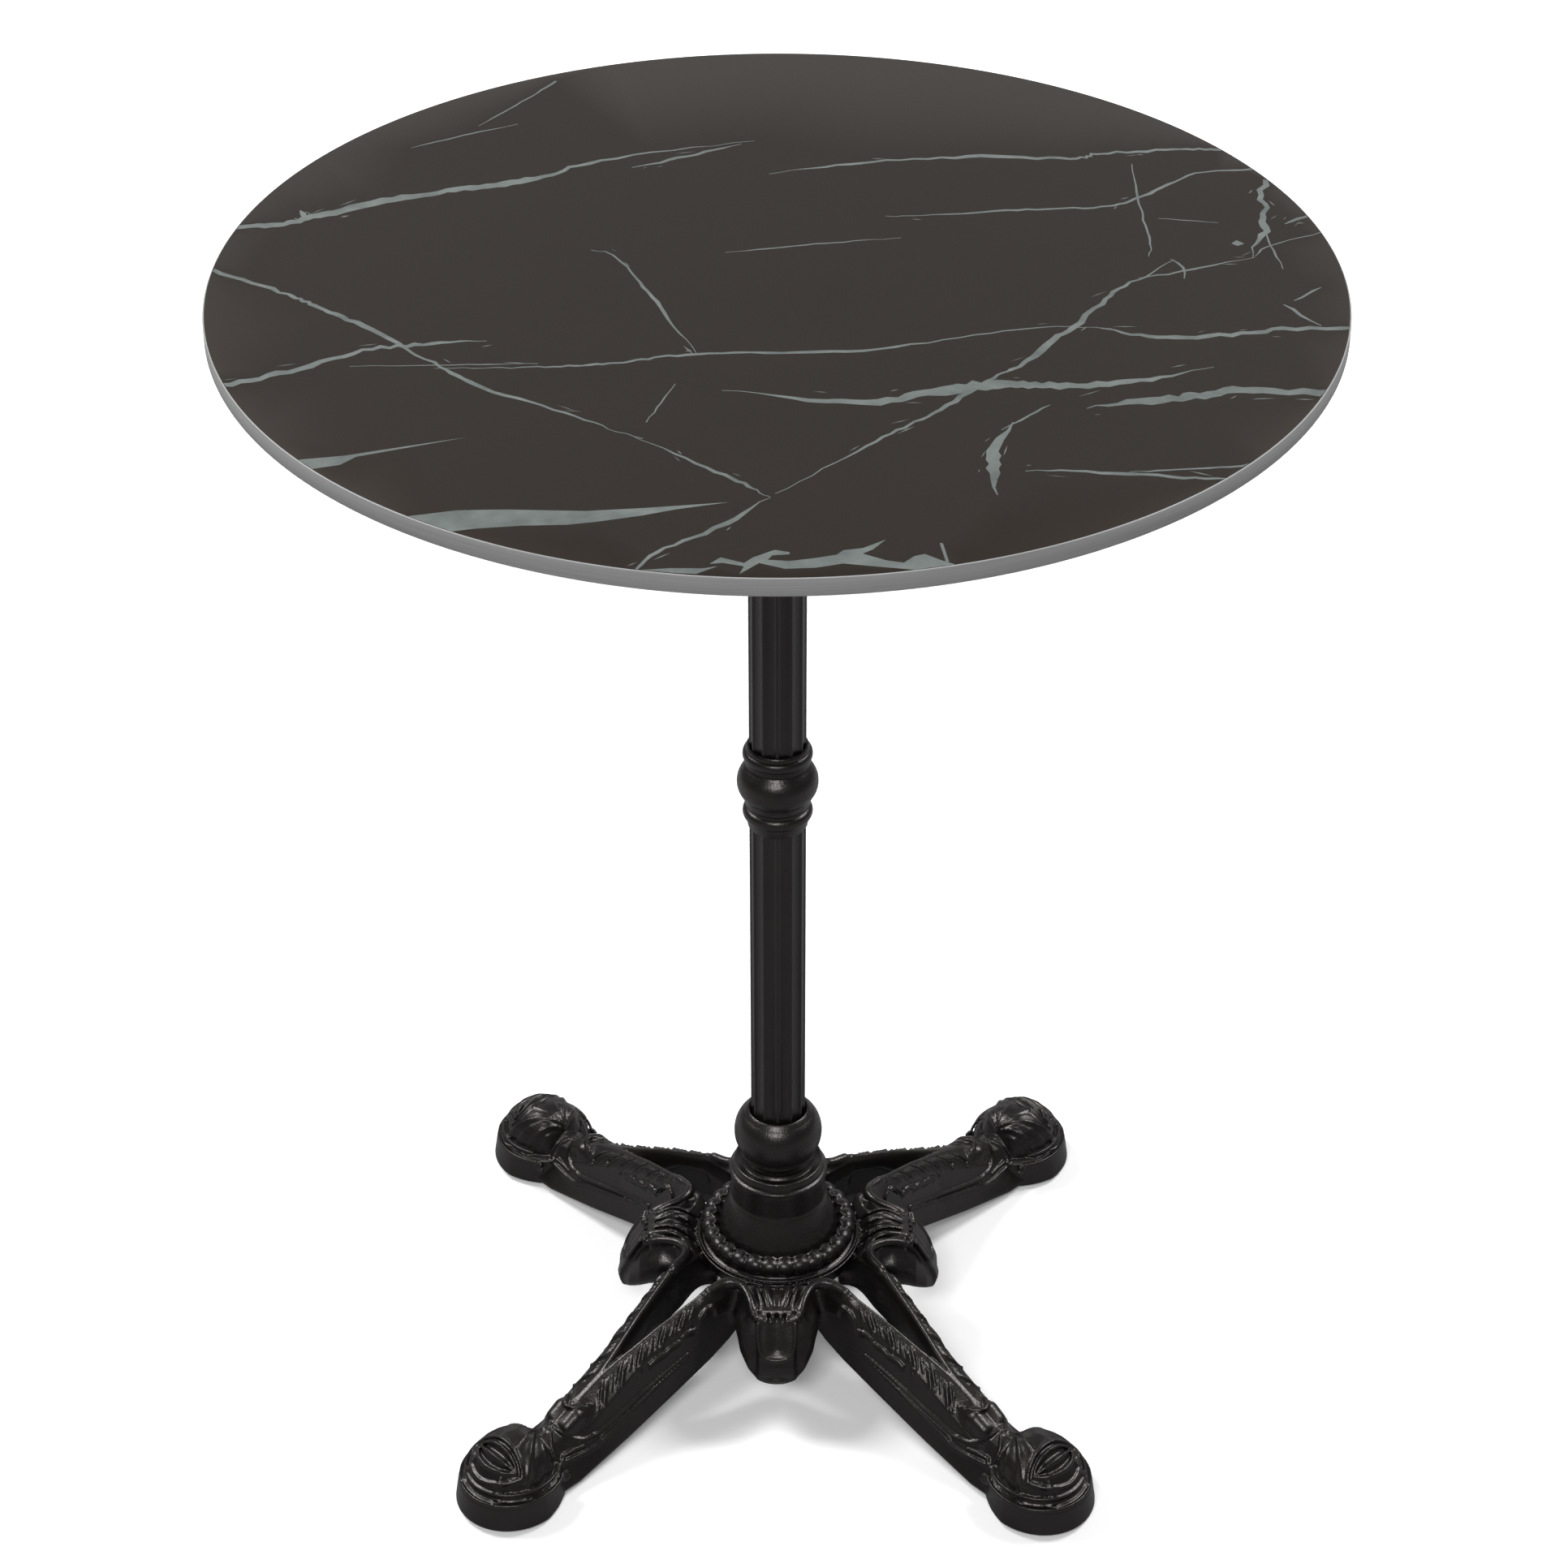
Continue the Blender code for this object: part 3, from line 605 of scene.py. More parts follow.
def tongue_relief(sculpt):
    """Leaf ridges that run together from the hub, a waist with knuckles, and a framed panel."""

    def line(points, radii, blend, steps, carve=False):
        path = spline([on_tongue(*point) for point in points], steps)
        sculpt.cord(path, radii, blend, on_axis=True, carve=carve)

    for start, middle, end, thick in ((9.5, 7.0, 1.8, 2.6), (14.5, 11, 6.4, 1.9)):
        line([(start, 51), (middle, 66), (end, 85)], [0.7 * thick, thick, 0.8 * thick], 0.5, 6)
    for start, middle, end in ((2.5, 1.5, 0), (11, 8.6, 4)):
        line([(start, 52), (middle, 66), (end, 84)], [1.9, 2.1, 0.9], 0.8, 6, carve=True)
    line([(12.6, 83), (9, 84.5)], [2.0, 1.4], 0.5, 1)
    line([(11.2, 86), (11.3, 90), (10.2, 94), (6, 96.3), (-0.5, 96.8)], [1.3], 0.5, 5)
    panel = [(along + 5, 0, float(table(KNEE_CROWN, along)) + 4) for along in (87, 91, 94)]
    sculpt.cord(panel, [7.4, 7.6], 2.5, on_axis=True, carve=True)


GADROONS = 28


def hub(sculpt):
    """The middle of the base: a hollow drum, a fine double rim and the ring of gadroons."""
    profile = [
        (5.6, 66.5), (35.5, 66.5), (38, 60), (46.2, 60), (46.6, 69), (47.8, 70.4), (48.2, 71.6), (47, 73.2),
        (45.6, 73.4), (44.6, 75), (44.5, 80), (41, 82.5), (37.6, 82.2), (5.6, 82),
    ]

    def drum(p):
        return polygon_distance(p.radius, p.height, profile) - 0.4

    def gadroon(p):
        phase = 0.5 * GADROONS * np.arctan2(p.aside, p.along)
        bulge = np.abs(np.sin(phase)) ** 0.4
        tube = np.hypot((p.radius - 42.4) / 1.02, (p.height - 80.2) / 1.06) - 5.6
        return tube + 2.2 * (1 - bulge)

    def ring(at, level):
        return lambda p: np.hypot(p.radius - at, p.height - level) - 0.9

    def scallop(p):
        bulge = np.abs(np.sin(0.5 * GADROONS * np.arctan2(p.aside, p.along)))
        return np.hypot(p.radius - 41.2 + 2.6 * bulge, p.height - 86.1 + 0.9 * bulge) - 0.7

    def well(p):
        return np.maximum(p.radius - 37.1, 82.1 - p.height)

    def bore(p):
        return p.radius - 5.6 + 0 * p.height

    near = sculpt.radius < 60
    sculpt.add(near, drum, blend=1.2)
    sculpt.add(near, gadroon, blend=0.6)
    sculpt.add(near, scallop, blend=0.5)
    for at, level in ((49.1, 74.4), (49.9, 71.8)):
        sculpt.add(near, ring(at, level), blend=0.3)
    sculpt.cord([(46.8, 19.5, 61.5), (47.2, 19.5, 71)], [0.9], 1.0, on_axis=True)
    sculpt.cut(near, well)
    sculpt.cut(sculpt.radius < 20, bore)


def leveller_bosses(sculpt, reach_of_boss):
    """The tapped boss inside each foot."""

    def boss(p):
        wide = np.hypot(p.reach - reach_of_boss, p.across)
        return np.maximum(np.maximum(wide - 9, 8 - p.height), p.height - 30)

    def bore(p):
        return np.maximum(np.hypot(p.reach - reach_of_boss, p.across) - 4.45, p.height - 36)

    near = (sculpt.reach > 190) & (sculpt.across < 30)
    sculpt.add(near, boss, blend=2)
    sculpt.cut(near, bore)


def base_casting(iron):
    """The one sculpted casting: legs, knees, feet and hub."""
    side = 1000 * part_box("base_casting")[1].x
    foot_reach = ROOT_2 * side - SOLE_RADIUS * math.hypot(1, SOLE_SQUEEZE)
    reach_of_boss = ROOT_2 * centre_of("leveller_pad_back_right")[0]
    sculpt = Sculpt(side + 4, -2, 92, BASE_STEP)
    rails(sculpt)
    knees(sculpt)
    feathering(sculpt)
    cuffs(sculpt)
    feet(sculpt, foot_reach)
    hub(sculpt)
    leveller_bosses(sculpt, reach_of_boss)
    finish_piece(sculpt.mesh("sculpted_base"), iron, "base_casting")


# ---------------------------------------------------------------- ring meshes


def ring_mesh(name, rings, closed, smooth_angle=32):
    """A skin over equal-sized rings of points in millimetres, its ends capped or joined."""
    size = len(rings[0])
    points = [tuple(MM * value for value in point) for ring in rings for point in ring]
    faces = []
    spans = len(rings) if closed else len(rings) - 1
    for row in range(spans):
        low = row * size
        high = ((row + 1) % len(rings)) * size
        for i in range(size):
            j = (i + 1) % size
            faces.append((low + i, low + j, high + j, high + i))
    if not closed:
        faces.append(tuple(reversed(range(size))))
        faces.append(tuple(range(len(points) - size, len(points))))
    mesh = bpy.data.meshes.new(name)
    mesh.from_pydata(points, [], faces)
    shape = bmesh.new()
    shape.from_mesh(mesh)
    bmesh.ops.recalc_face_normals(shape, faces=shape.faces)
    shape.to_mesh(mesh)
    shape.free()
    mesh.shade_smooth()
    mesh.set_sharp_from_angle(angle=math.radians(smooth_angle))
    return link(name, mesh)


def circle(radius, height, sides, shape=None, centre=(0, 0)):
    """A level ring. shape(angle) adds to the radius."""
    ring = []
    for i in range(sides):
        angle = 2 * math.pi * i / sides
        reach = radius + (shape(angle) if shape else 0)
        ring.append((centre[0] + reach * math.cos(angle), centre[1] + reach * math.sin(angle), height))
    return ring


def stack(pairs, sides, centre=(0, 0), shape=None):
    """Level rings, one for each (radius, height) pair."""
    return [circle(radius, height, sides, shape, centre) for radius, height in pairs]


def turned(name, bottom, profile, sides=144, smooth_angle=38):
    """A turned piece from its closed profile of (radius, height above the bottom) pairs."""
    rings = stack([(radius, bottom + height) for radius, height in profile], sides)
    return ring_mesh(name, rings, True, smooth_angle)


# ---------------------------------------------------------------- the column

FLUTES = 12
COLUMN_RADIUS = 16.4
FLUTE_DEPTH = 1.15
RIB_SHARE = 0.2
ROD_BORE = 5.5
GAP = 0.3


def flute_depth(angle):
    """How far the column's surface is in from its ribs at this angle."""
    share = (angle * FLUTES / (2 * math.pi) + 0.5 * RIB_SHARE) % 1
    if share < RIB_SHARE:
        return -0.25 * (2 * share / RIB_SHARE - 1) ** 4
    hollow = (share - RIB_SHARE) / (1 - RIB_SHARE)
    return -0.25 - FLUTE_DEPTH * math.sin(math.pi * hollow) ** 0.45


def fluted_column(node, name, iron):
    """One length of the column, fluted from end to end."""
    bottom, top = levels_of(node)
    sides = FLUTES * 20
    ribbed = [(COLUMN_RADIUS, level) for level in np.linspace(bottom, top, 9)]
    rings = [circle(11, bottom, sides), *stack(ribbed, sides, shape=flute_depth), circle(11, top, sides)]
    finish_piece(ring_mesh(name, rings, True, 40), iron, node)


def knop(iron):
    """The turned knop half way up: a ball between two rings, with fine grooves."""
    bottom, top = levels_of("column_knop")
    floor = levels_of("lower_column")[1] + GAP - bottom
    roof = levels_of("upper_column")[0] - GAP - bottom
    middle = 0.5 * (floor + roof)
    tall = top - bottom
    inner = COLUMN_RADIUS + GAP
    skin = [(17.0, 0), (17.4, 0.6), (17.8, 4.2), (18.3, 5.2)] + arc((17.2, 9.4), (3.1, 3.9), -70, 75, 10)
    skin += [(18.0, 13.6), (17.7, 14.6), (18.2, 15.6), (19.2, 16.4)]
    skin += arc((11.5, middle + 0.7), (12, 13.2), -46, 46, 22)
    skin += [(19.2, middle + 11.2), (18.3, middle + 11.9), (17.9, middle + 12.7), (18.1, middle + 13.5)]
    skin += [(18.9, middle + 14.1)] + arc((17.6, tall - 6.2), (2.6, 3.4), -75, 80, 10)
    skin += [(18.2, tall - 2.0), (18.0, tall - 0.8), (17.4, tall)]
    bore = [(inner, tall), (inner, roof), (ROD_BORE, roof), (ROD_BORE, floor), (inner, floor), (inner, 0)]
    finish_piece(turned("turned_knop", bottom, skin + bore), iron, "column_knop")


def ball_socket(iron):
    """The ball that holds the column's foot, on a short waisted neck."""
    bottom, top = levels_of("ball_socket")
    floor = levels_of("lower_column")[0] - GAP - bottom
    tall = top - bottom
    inner = COLUMN_RADIUS + GAP
    skin = [(20.2, 0), (20.4, 1.2), (20.2, 2.6), (21.4, 5.0), (23.8, 7.0)]
    skin += arc((14.6, 21), (12.2, 16.6), -40, 62, 26)
    skin += [(19.2, tall - 0.8), (18.0, tall - 0.1), (17.2, tall - 0.5), (inner, tall - 1.4)]
    bore = [(inner, floor), (ROD_BORE, floor), (ROD_BORE, 0)]
    finish_piece(turned("turned_ball", bottom, skin + bore), iron, "ball_socket")


def bell(iron):
    """The bell under the ball: a lipped plate, a short cylinder and a flared skirt."""
    bottom, top = levels_of("pedestal_bell")
    tall = top - bottom
    skin = [(36.6, 0), (36.7, 0.8), (36.2, 2.4), (34.6, 7), (33.2, 12), (31.8, 17), (30.6, 21), (29.9, 23.2)]
    skin += [(29.3, 23.9), (29.1, 26), (29.2, 38), (29.5, 41.5)] + arc((28.7, 43.6), (1.5, 1.5), -60, 80, 6)
    skin += [(28.2, 45.4), (28.0, 46.2), (28.3, 47.2), (28.0, 48.4)]
    skin += arc((26.2, 49.6), (1.2, 1.2), 10, 110, 5)
    skin += [(25, 50.2), (22.5, 49.8), (21.6, 50.4), (20.9, tall)]
    bore = [(ROD_BORE, tall), (ROD_BORE, tall - 8), (24, tall - 8), (25, 18), (32, 0)]
    finish_piece(turned("turned_bell", bottom, skin + bore), iron, "pedestal_bell")


# ---------------------------------------------------------------- the spider under the top


SPIDER_STEP = 0.9


def spider(iron):
    """The cast cross under the top, with ribbed arms and rounded, drilled ends."""
    top = levels_of("top_spider")[1]
    size = 1000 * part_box("top_spider")[1].x
    tip = math.hypot(*centre_of("top_screw_1"))
    column_top = levels_of("upper_column")[1]
    web_low, web_high = column_top + GAP, column_top + 6.3

    def arm(p):
        half = table(((14, 14), (60, 11), (118, 9.5)), p.reach)
        plate = np.where(p.reach < tip, p.across - half + 2, np.hypot(p.reach - tip, p.across) - 7.6)
        return smooth_max(plate, np.abs(p.height - top + 3) - 1, 2) - 1.9

    def rib(p):
        depth = table(((14, 19), (108, 6.5)), p.reach)
        ends = np.maximum(p.across - 1.6, p.reach - 112)
        return smooth_max(ends, np.maximum(top - depth - p.height, p.height - top + 3), 2) - 1

    def collar(p):
        outline = [(5.7, web_low + 0.2), (18.4, web_low), (18.4, web_low - 9), (21, web_low - 9)]
        outline += [(22.6, web_low - 6), (22.6, top - 1), (14.6, top - 1), (14.6, web_high), (5.7, web_high)]
        return polygon_distance(p.radius, p.height, outline) - 0.9

    def clearances(p):
        nut_well = np.maximum(p.radius - 13.6, web_high + 0.2 - p.height)
        socket = np.maximum(p.radius - COLUMN_RADIUS - GAP, p.height - web_low)
        bore = p.radius - 5.6 + 0 * p.height
        hole = np.hypot(p.reach - tip, p.across) - 3.1 + 0 * p.height
        return np.minimum(np.minimum(nut_well, socket), np.minimum(bore, hole))

    def above(p):
        return top - p.height + 0 * p.radius

    sculpt = Sculpt(size + 5, top - 32, top + 3, SPIDER_STEP)
    everywhere = sculpt.radius > -1
    sculpt.add(everywhere, arm)
    sculpt.add(everywhere, rib, blend=3)
    sculpt.add(everywhere, collar, blend=3)
    sculpt.cut(everywhere, clearances, blend=0.6)
    sculpt.cut(everywhere, above)
    finish_piece(sculpt.mesh("sculpted_spider"), iron, "top_spider")


# ---------------------------------------------------------------- fasteners and levellers


THREAD_STEPS = 6


def threaded(radius, low, high, pitch, sides, centre=(0, 0)):
    """Rings of a vee thread from low to high, which runs out at both ends."""
    depth = 0.54 * pitch
    rows = int((high - low) / pitch * THREAD_STEPS)
    rings = []
    for row in range(rows + 1):
        height = low + (high - low) * row / rows
        fade = min(1, row / 4, (rows - row) / 4)

        def vee(angle, height=height, fade=fade):
            phase = (height / pitch - angle / (2 * math.pi)) % 1
            return -depth * fade * (1 - abs(2 * phase - 1)) - 0.25 * depth * (1 - fade)

        rings.append(circle(radius, height, sides, vee, centre))
    return rings


def tie_rod(steel):
    """The long rod: plain, with an M10 thread at each end."""
    bottom, top = levels_of("tie_rod")
    radius, tip, length, pitch, sides = 5, 4.2, 40, 1.5, 28
    rings = [circle(tip, bottom, sides)]
    rings += threaded(radius, bottom + 0.8, bottom + length, pitch, sides)
    rings += threaded(radius, top - length, top - 0.8, pitch, sides)
    rings.append(circle(tip, top, sides))
    finish_piece(ring_mesh("threaded_tie_rod", rings, False), steel, "tie_rod")


def hexagon(across_flats, chamfer):
    """A shape for circle(): the flats of a hexagon, cut back to a round where it is smaller."""

    def flats(angle):
        sector = (angle + math.pi / 6) % (math.pi / 3) - math.pi / 6
        corner = 0.5 * across_flats / math.cos(sector)
        return min(corner, 0.5 * across_flats * 1.155 - chamfer) - 0.5 * across_flats

    return flats


def nut(node, name, steel):
    """A hexagon nut, chamfered on both faces and in its bore."""
    bottom, top = levels_of(node)
    sides, flats = 96, 17
    chamfers = ((0, 1.25), (0.35, 0.6), (0.8, 0.0))
    rings = stack([(5.3, bottom + 0.6), (6.1, bottom)], sides)
    for rise, chamfer in chamfers:
        rings.append(circle(flats / 2, bottom + rise, sides, hexagon(flats, chamfer)))
    for drop, chamfer in reversed(chamfers):
        rings.append(circle(flats / 2, top - drop, sides, hexagon(flats, chamfer)))
    rings += stack([(6.1, top), (5.3, top - 0.6)], sides)
    finish_piece(ring_mesh(name, rings, True, 20), steel, node)


def washer(node, name, steel):
    """A flat washer with eased edges."""
    bottom, top = levels_of(node)
    tall = top - bottom
    rim = 1000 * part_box(node)[1].x
    profile = [(5.3, 0.2), (5.5, 0), (rim - 0.4, 0), (rim, 0.4)]
    profile += [(rim, tall - 0.4), (rim - 0.4, tall), (5.5, tall), (5.3, tall - 0.2)]
    finish_piece(turned(name, bottom, profile, sides=72, smooth_angle=32), steel, node)


def screw(number, steel):
    """A pan-head machine screw with a cross recess, seen from below."""
    node = f"top_screw_{number}"
    bottom, top = levels_of(node)
    place = centre_of(node)
    sides, head, shank = 48, 3.0, 2.5

    def cross(angle):
        return 1.5 * abs(math.cos(2 * angle)) ** 6

    rings = [circle(0.35, bottom + 1.9, sides, lambda angle: 0.2 * cross(angle), place)]
    rings += stack([(0.7, bottom + 0.3), (0.8, bottom)], sides, place, cross)
    rings += stack([(3.0, bottom)] + arc((2.9, bottom + 1.7), (1.9, 1.7), -75, 0, 6), sides, place)
    rings += stack([(4.8, bottom + head), (shank, bottom + head)], sides, place)
    rings += threaded(shank, bottom + head + 0.3, top - 0.3, 0.8, sides, place)
    rings.append(circle(1.9, top, sides, centre=place))
    finish_piece(ring_mesh(f"pan_screw_{number}", rings, False, 28), steel, node)


def insert(number, brass):
    """A knurled brass insert: fine splines round it with a groove at half height."""
    node = f"top_insert_{number}"
    bottom, top = levels_of(node)
    middle = 0.5 * (bottom + top)
    place = centre_of(node)
    sides = 96

    def knurl(angle):
        return 0.16 * math.cos(24 * angle) - 0.16

    rings = stack([(2.8, bottom), (3.7, bottom)], sides, place)
    rings += stack([(4.0, bottom + 0.4), (4.0, middle - 0.6)], sides, place, knurl)
    rings += stack([(3.5, middle - 0.4), (3.5, middle + 0.4)], sides, place)
    rings += stack([(4.0, middle + 0.6), (4.0, top - 0.4)], sides, place, knurl)
    rings += stack([(3.7, top), (2.8, top)], sides, place)
    finish_piece(ring_mesh(f"knurled_insert_{number}", rings, True), brass, node)


def leveller(corner, steel, plastic):
    """One foot's M8 stud, which turns in its boss, and the round glide that it carries."""
    node = f"leveller_stud_{corner}"
    bottom, top = levels_of(node)
    place = centre_of(node)
    sides = 32
    rings = stack([(3.2, bottom), (3.9, bottom + 0.6), (3.9, bottom + 3.4)], sides, place)
    rings += threaded(4, bottom + 3.8, top - 0.8, 1.25, sides, place)
    rings.append(circle(3.2, top, sides, centre=place))
    finish_piece(ring_mesh(f"threaded_stud_{corner}", rings, False), steel, node, f"stud_{corner}")
    skin = [(16, 0), (20.6, 0.0), (21.5, 0.35), (22, 1.0), (21.8, 1.8), (21.0, 2.3), (17, 2.7), (14.6, 3.0)]
    skin += arc((14.2, 5.6), (4.4, 2.5), -92, -170, 6)
    skin += [(9.6, 5.8), (9.2, 6.0), (5.0, 6.0), (4.6, 5.7), (4.6, 2.2)]
    rings = stack(skin, 96, place)
    glide = ring_mesh(f"moulded_glide_{corner}", rings, False)
    finish_piece(glide, plastic, f"leveller_pad_{corner}", f"glide_{corner}")


# ---------------------------------------------------------------- the table top

# The veins: widest width, then points across the top as (right, away), all in millimetres.
VEINS = [
    (8.5, [
        (-296, 64), (-268, 68), (-247, 80), (-206, 101), (-170, 114), (-135, 126), (-100, 150), (-15, 177),
    ]),
    (3.5, [(-82, 140), (-52, 156), (-22, 172)]),
    (4.5, [(-262, 84), (-257, 76), (-247, 79)]),
    (1.6, [(-208, 165), (-180, 182), (-150, 198)]),
    (1.8, [(-172, 195), (-150, 228), (-132, 258)]),
    (4.8, [
        (-299, 12), (-256, -16), (-240, -28), (-213, -51), (-173, -91), (-145, -117), (-98, -147),
        (-64, -169),
    ]),
    (3.0, [(-70, -165), (-23, -204), (-1, -225)]),
    (3.6, [(-1, -225), (-17, -245), (-36, -263), (-53, -276), (-62, -292)]),
    (6.5, [(-277, -117), (-245, -101), (-210, -78), (-180, -71), (-148, -66)]),
    (3.0, [(-172, -97), (-120, -95), (-80, -90), (-40, -80), (45, -75), (130, -50), (173, -50)]),
    (6.0, [(165, -48), (187, -57), (210, -59), (239, -55), (261, -50), (299, -48)]),
    (3.4, [(-100, 38), (-88, 32), (-72, 0), (-58, -35), (-40, -80)]),
    (12.0, [(-26, -118), (40, -131), (80, -119), (112, -111), (138, -112), (178, -108), (222, -92)]),
    (9.5, [(155, -135), (176, -129), (198, -126), (213, -121), (230, -116), (250, -117), (280, -119)]),
    (3.4, [(2, -222), (50, -170), (79, -141), (110, -104), (128, -87)]),
    (5.6, [(110, -104), (128, -87), (142, -62), (153, -49), (169, -22), (179, -5), (194, 10), (210, 30)]),
    (3.0, [(190, 7), (211, 14), (225, 20), (254, 33)]),
    (2.2, [(209, 30), (215, 20), (214, 7)]),
    (5.0, [(-6, 133), (45, 148), (105, 157), (162, 155), (180, 162), (221, 167), (248, 168)]),
    (3.2, [
        (58, 80), (84, 82), (124, 88), (150, 91), (176, 93), (192, 101), (211, 118), (231, 136),
        (264, 142),
    ]),
    (5.2, [(270, 128), (264, 109), (266, 93), (263, 81), (263, 64), (256, 50), (252, 32)]),
    (2.0, [(254, 34), (264, 47), (294, 63)]),
    (2.2, [(263, 66), (264, 47), (268, 19)]),
    (2.4, [(196, 148), (197, 105), (198, 77), (200, 52), (198, 33)]),
    (3.4, [(290, 83), (282, 79), (274, 73)]),
    (2.0, [(137, -132), (126, -143), (112, -158)]),
    (7.5, [(118, -150), (108, -174), (107, -188), (106, -201), (108, -222)]),
    (3.4, [(122, -198), (145, -198), (172, -201), (198, -204), (218, -206)]),
    (2.2, [(172, -199), (200, -196), (232, -192)]),
    (2.2, [(-28, 35), (20, 46), (66, 54)]),
    (2.2, [(285, -2), (270, -18)]),
    (2.4, [(264, -22), (272, -34), (281, -46)]),
    (1.8, [(-50, -112), (-56, -132), (-63, -152)]),
    (1.4, [(206, 79), (222, 77), (238, 74)]),
    (1.4, [(-215, -95), (-160, -93), (-120, -91)]),
]
# The outlines of the broad patches: wedges from the left edge, a spot, and the broken ones in front.
PATCHES = [
    [
        (-176, -251), (-149, -239), (-127, -238), (-88, -239), (-61, -236), (-20, -230), (-45, -237),
        (-61, -243), (-82, -249), (-96, -252), (-117, -253), (-139, -256), (-150, -259), (-163, -256),
    ],
    [
        (-232, -193), (-208, -187), (-190, -181), (-150, -168), (-176, -178), (-202, -188), (-209, -196),
        (-224, -202),
    ],
    [(243, 49), (246, 46), (250, 49), (246, 53)],
    [(-60, -293), (-46, -291), (-31, -291), (-24, -289), (-34, -296), (-46, -295)],
    [
        (-28, -287), (-23, -281), (-12, -286), (-8, -281), (2, -274), (9, -276), (9, -278), (1, -279),
        (-1, -283), (9, -284), (22, -281), (31, -278), (34, -274), (43, -272), (54, -264), (48, -273),
        (43, -277), (54, -283), (62, -285), (67, -279), (72, -277), (80, -283), (86, -287), (67, -292),
        (52, -289), (34, -286), (21, -290), (7, -291), (-5, -286), (-14, -296), (-12, -289), (-22, -286),
    ],
    [(79, -267), (80.5, -267), (83, -284), (81.5, -284)],
]
VEIN_STEP = 5.0
OFF_EDGE = 288


def vein_outline(width, points, draw):
    """The ragged outline of one vein, tapering to both ends unless it runs off the edge."""
    length = sum(math.dist(a, b) for a, b in zip(points, points[1:]))
    path = spline(points, max(2, int(length / VEIN_STEP / (len(points) - 1))))
    left, right = [], []
    for i, point in enumerate(path):
        share = i / (len(path) - 1)
        before, after = path[max(0, i - 1)], path[min(len(path) - 1, i + 1)]
        heading = (after - before) / max(1e-6, np.linalg.norm(after - before))
        normal = np.array([-heading[1], heading[0]])
        start_taper = 1 if np.hypot(*path[0]) > OFF_EDGE else min(1, share * 4.5)
        end_taper = 1 if np.hypot(*path[-1]) > OFF_EDGE else min(1, (1 - share) * 3.2)
        swell = 0.62 + 0.4 * noise.noise(Vector((point[0] * 0.02, point[1] * 0.02, width)))
        half = max(0.28, width * 0.5 * swell * min(start_taper, end_taper))
        sway = 0.5 * min(width, 5) * (draw.random() - 0.5)
        left.append(point + normal * (half * (0.75 + 0.5 * draw.random()) + sway))
        right.append(point - normal * (half * (0.75 + 0.5 * draw.random()) - sway))
    return right + left[::-1]


def flecks(draw):
    """Small splinters of vein beside the wider ones."""
    out = []
    for width, points in VEINS:
        if width < 3:
            continue
        for _ in range(int(2 + width / 3)):
            k = draw.randrange(len(points) - 1)
            share = draw.random()
            a, b = np.array(points[k], float), np.array(points[k + 1], float)
            along = (b - a) / np.linalg.norm(b - a)
            normal = np.array([-along[1], along[0]])
            apart = (width * 0.5 + 0.5 + 3.5 * draw.random()) * draw.choice((-1, 1))
            place = a + (b - a) * share + normal * apart
            heading = along + normal * (draw.random() - 0.5)
            size, thin = 1.5 + 5 * draw.random(), 0.2 + 0.4 * draw.random()
            tip, side = heading * size, normal * thin
            out.append([place - tip, place - side, place + tip, place + side])
    return out


def top_face(radius, sides):
    """The veined disc: points, faces, and whether each face is vein."""
    draw = random.Random(7)
    rim = [Vector(point[:2]) for point in circle(radius, 0, sides)]
    inset = radius * math.cos(math.pi / sides) - 0.3
    points = list(rim)
    loops = [list(range(sides))]
    patches = [[np.array(point, float) for point in patch] for patch in PATCHES]
    for outline in [vein_outline(width, path, draw) for width, path in VEINS] + flecks(draw) + patches:
        loop = []
        for point in outline:
            reach = np.hypot(*point)
            if reach > inset:
                point = point * inset / reach
            loop.append(len(points))
            points.append(Vector(point))
        loops.append(loop)
    out_points, _, out_faces, _, _, _ = geometry.delaunay_2d_cdt(points, [], loops, 1, 0.01)
    middles = np.array([np.mean([out_points[i] for i in face], axis=0) for face in out_faces])
    veined = np.zeros(len(out_faces), bool)
    for loop in loops[1:]:
        corners = np.array([points[i] for i in loop])
        low, high = corners.min(0), corners.max(0)
        near = np.nonzero(((middles > low) & (middles < high)).all(1))[0]
        if len(near):
            outline = [tuple(corner) for corner in corners]
            veined[near] |= polygon_distance(middles[near, 0], middles[near, 1], outline) < 0
    return out_points, out_faces, veined


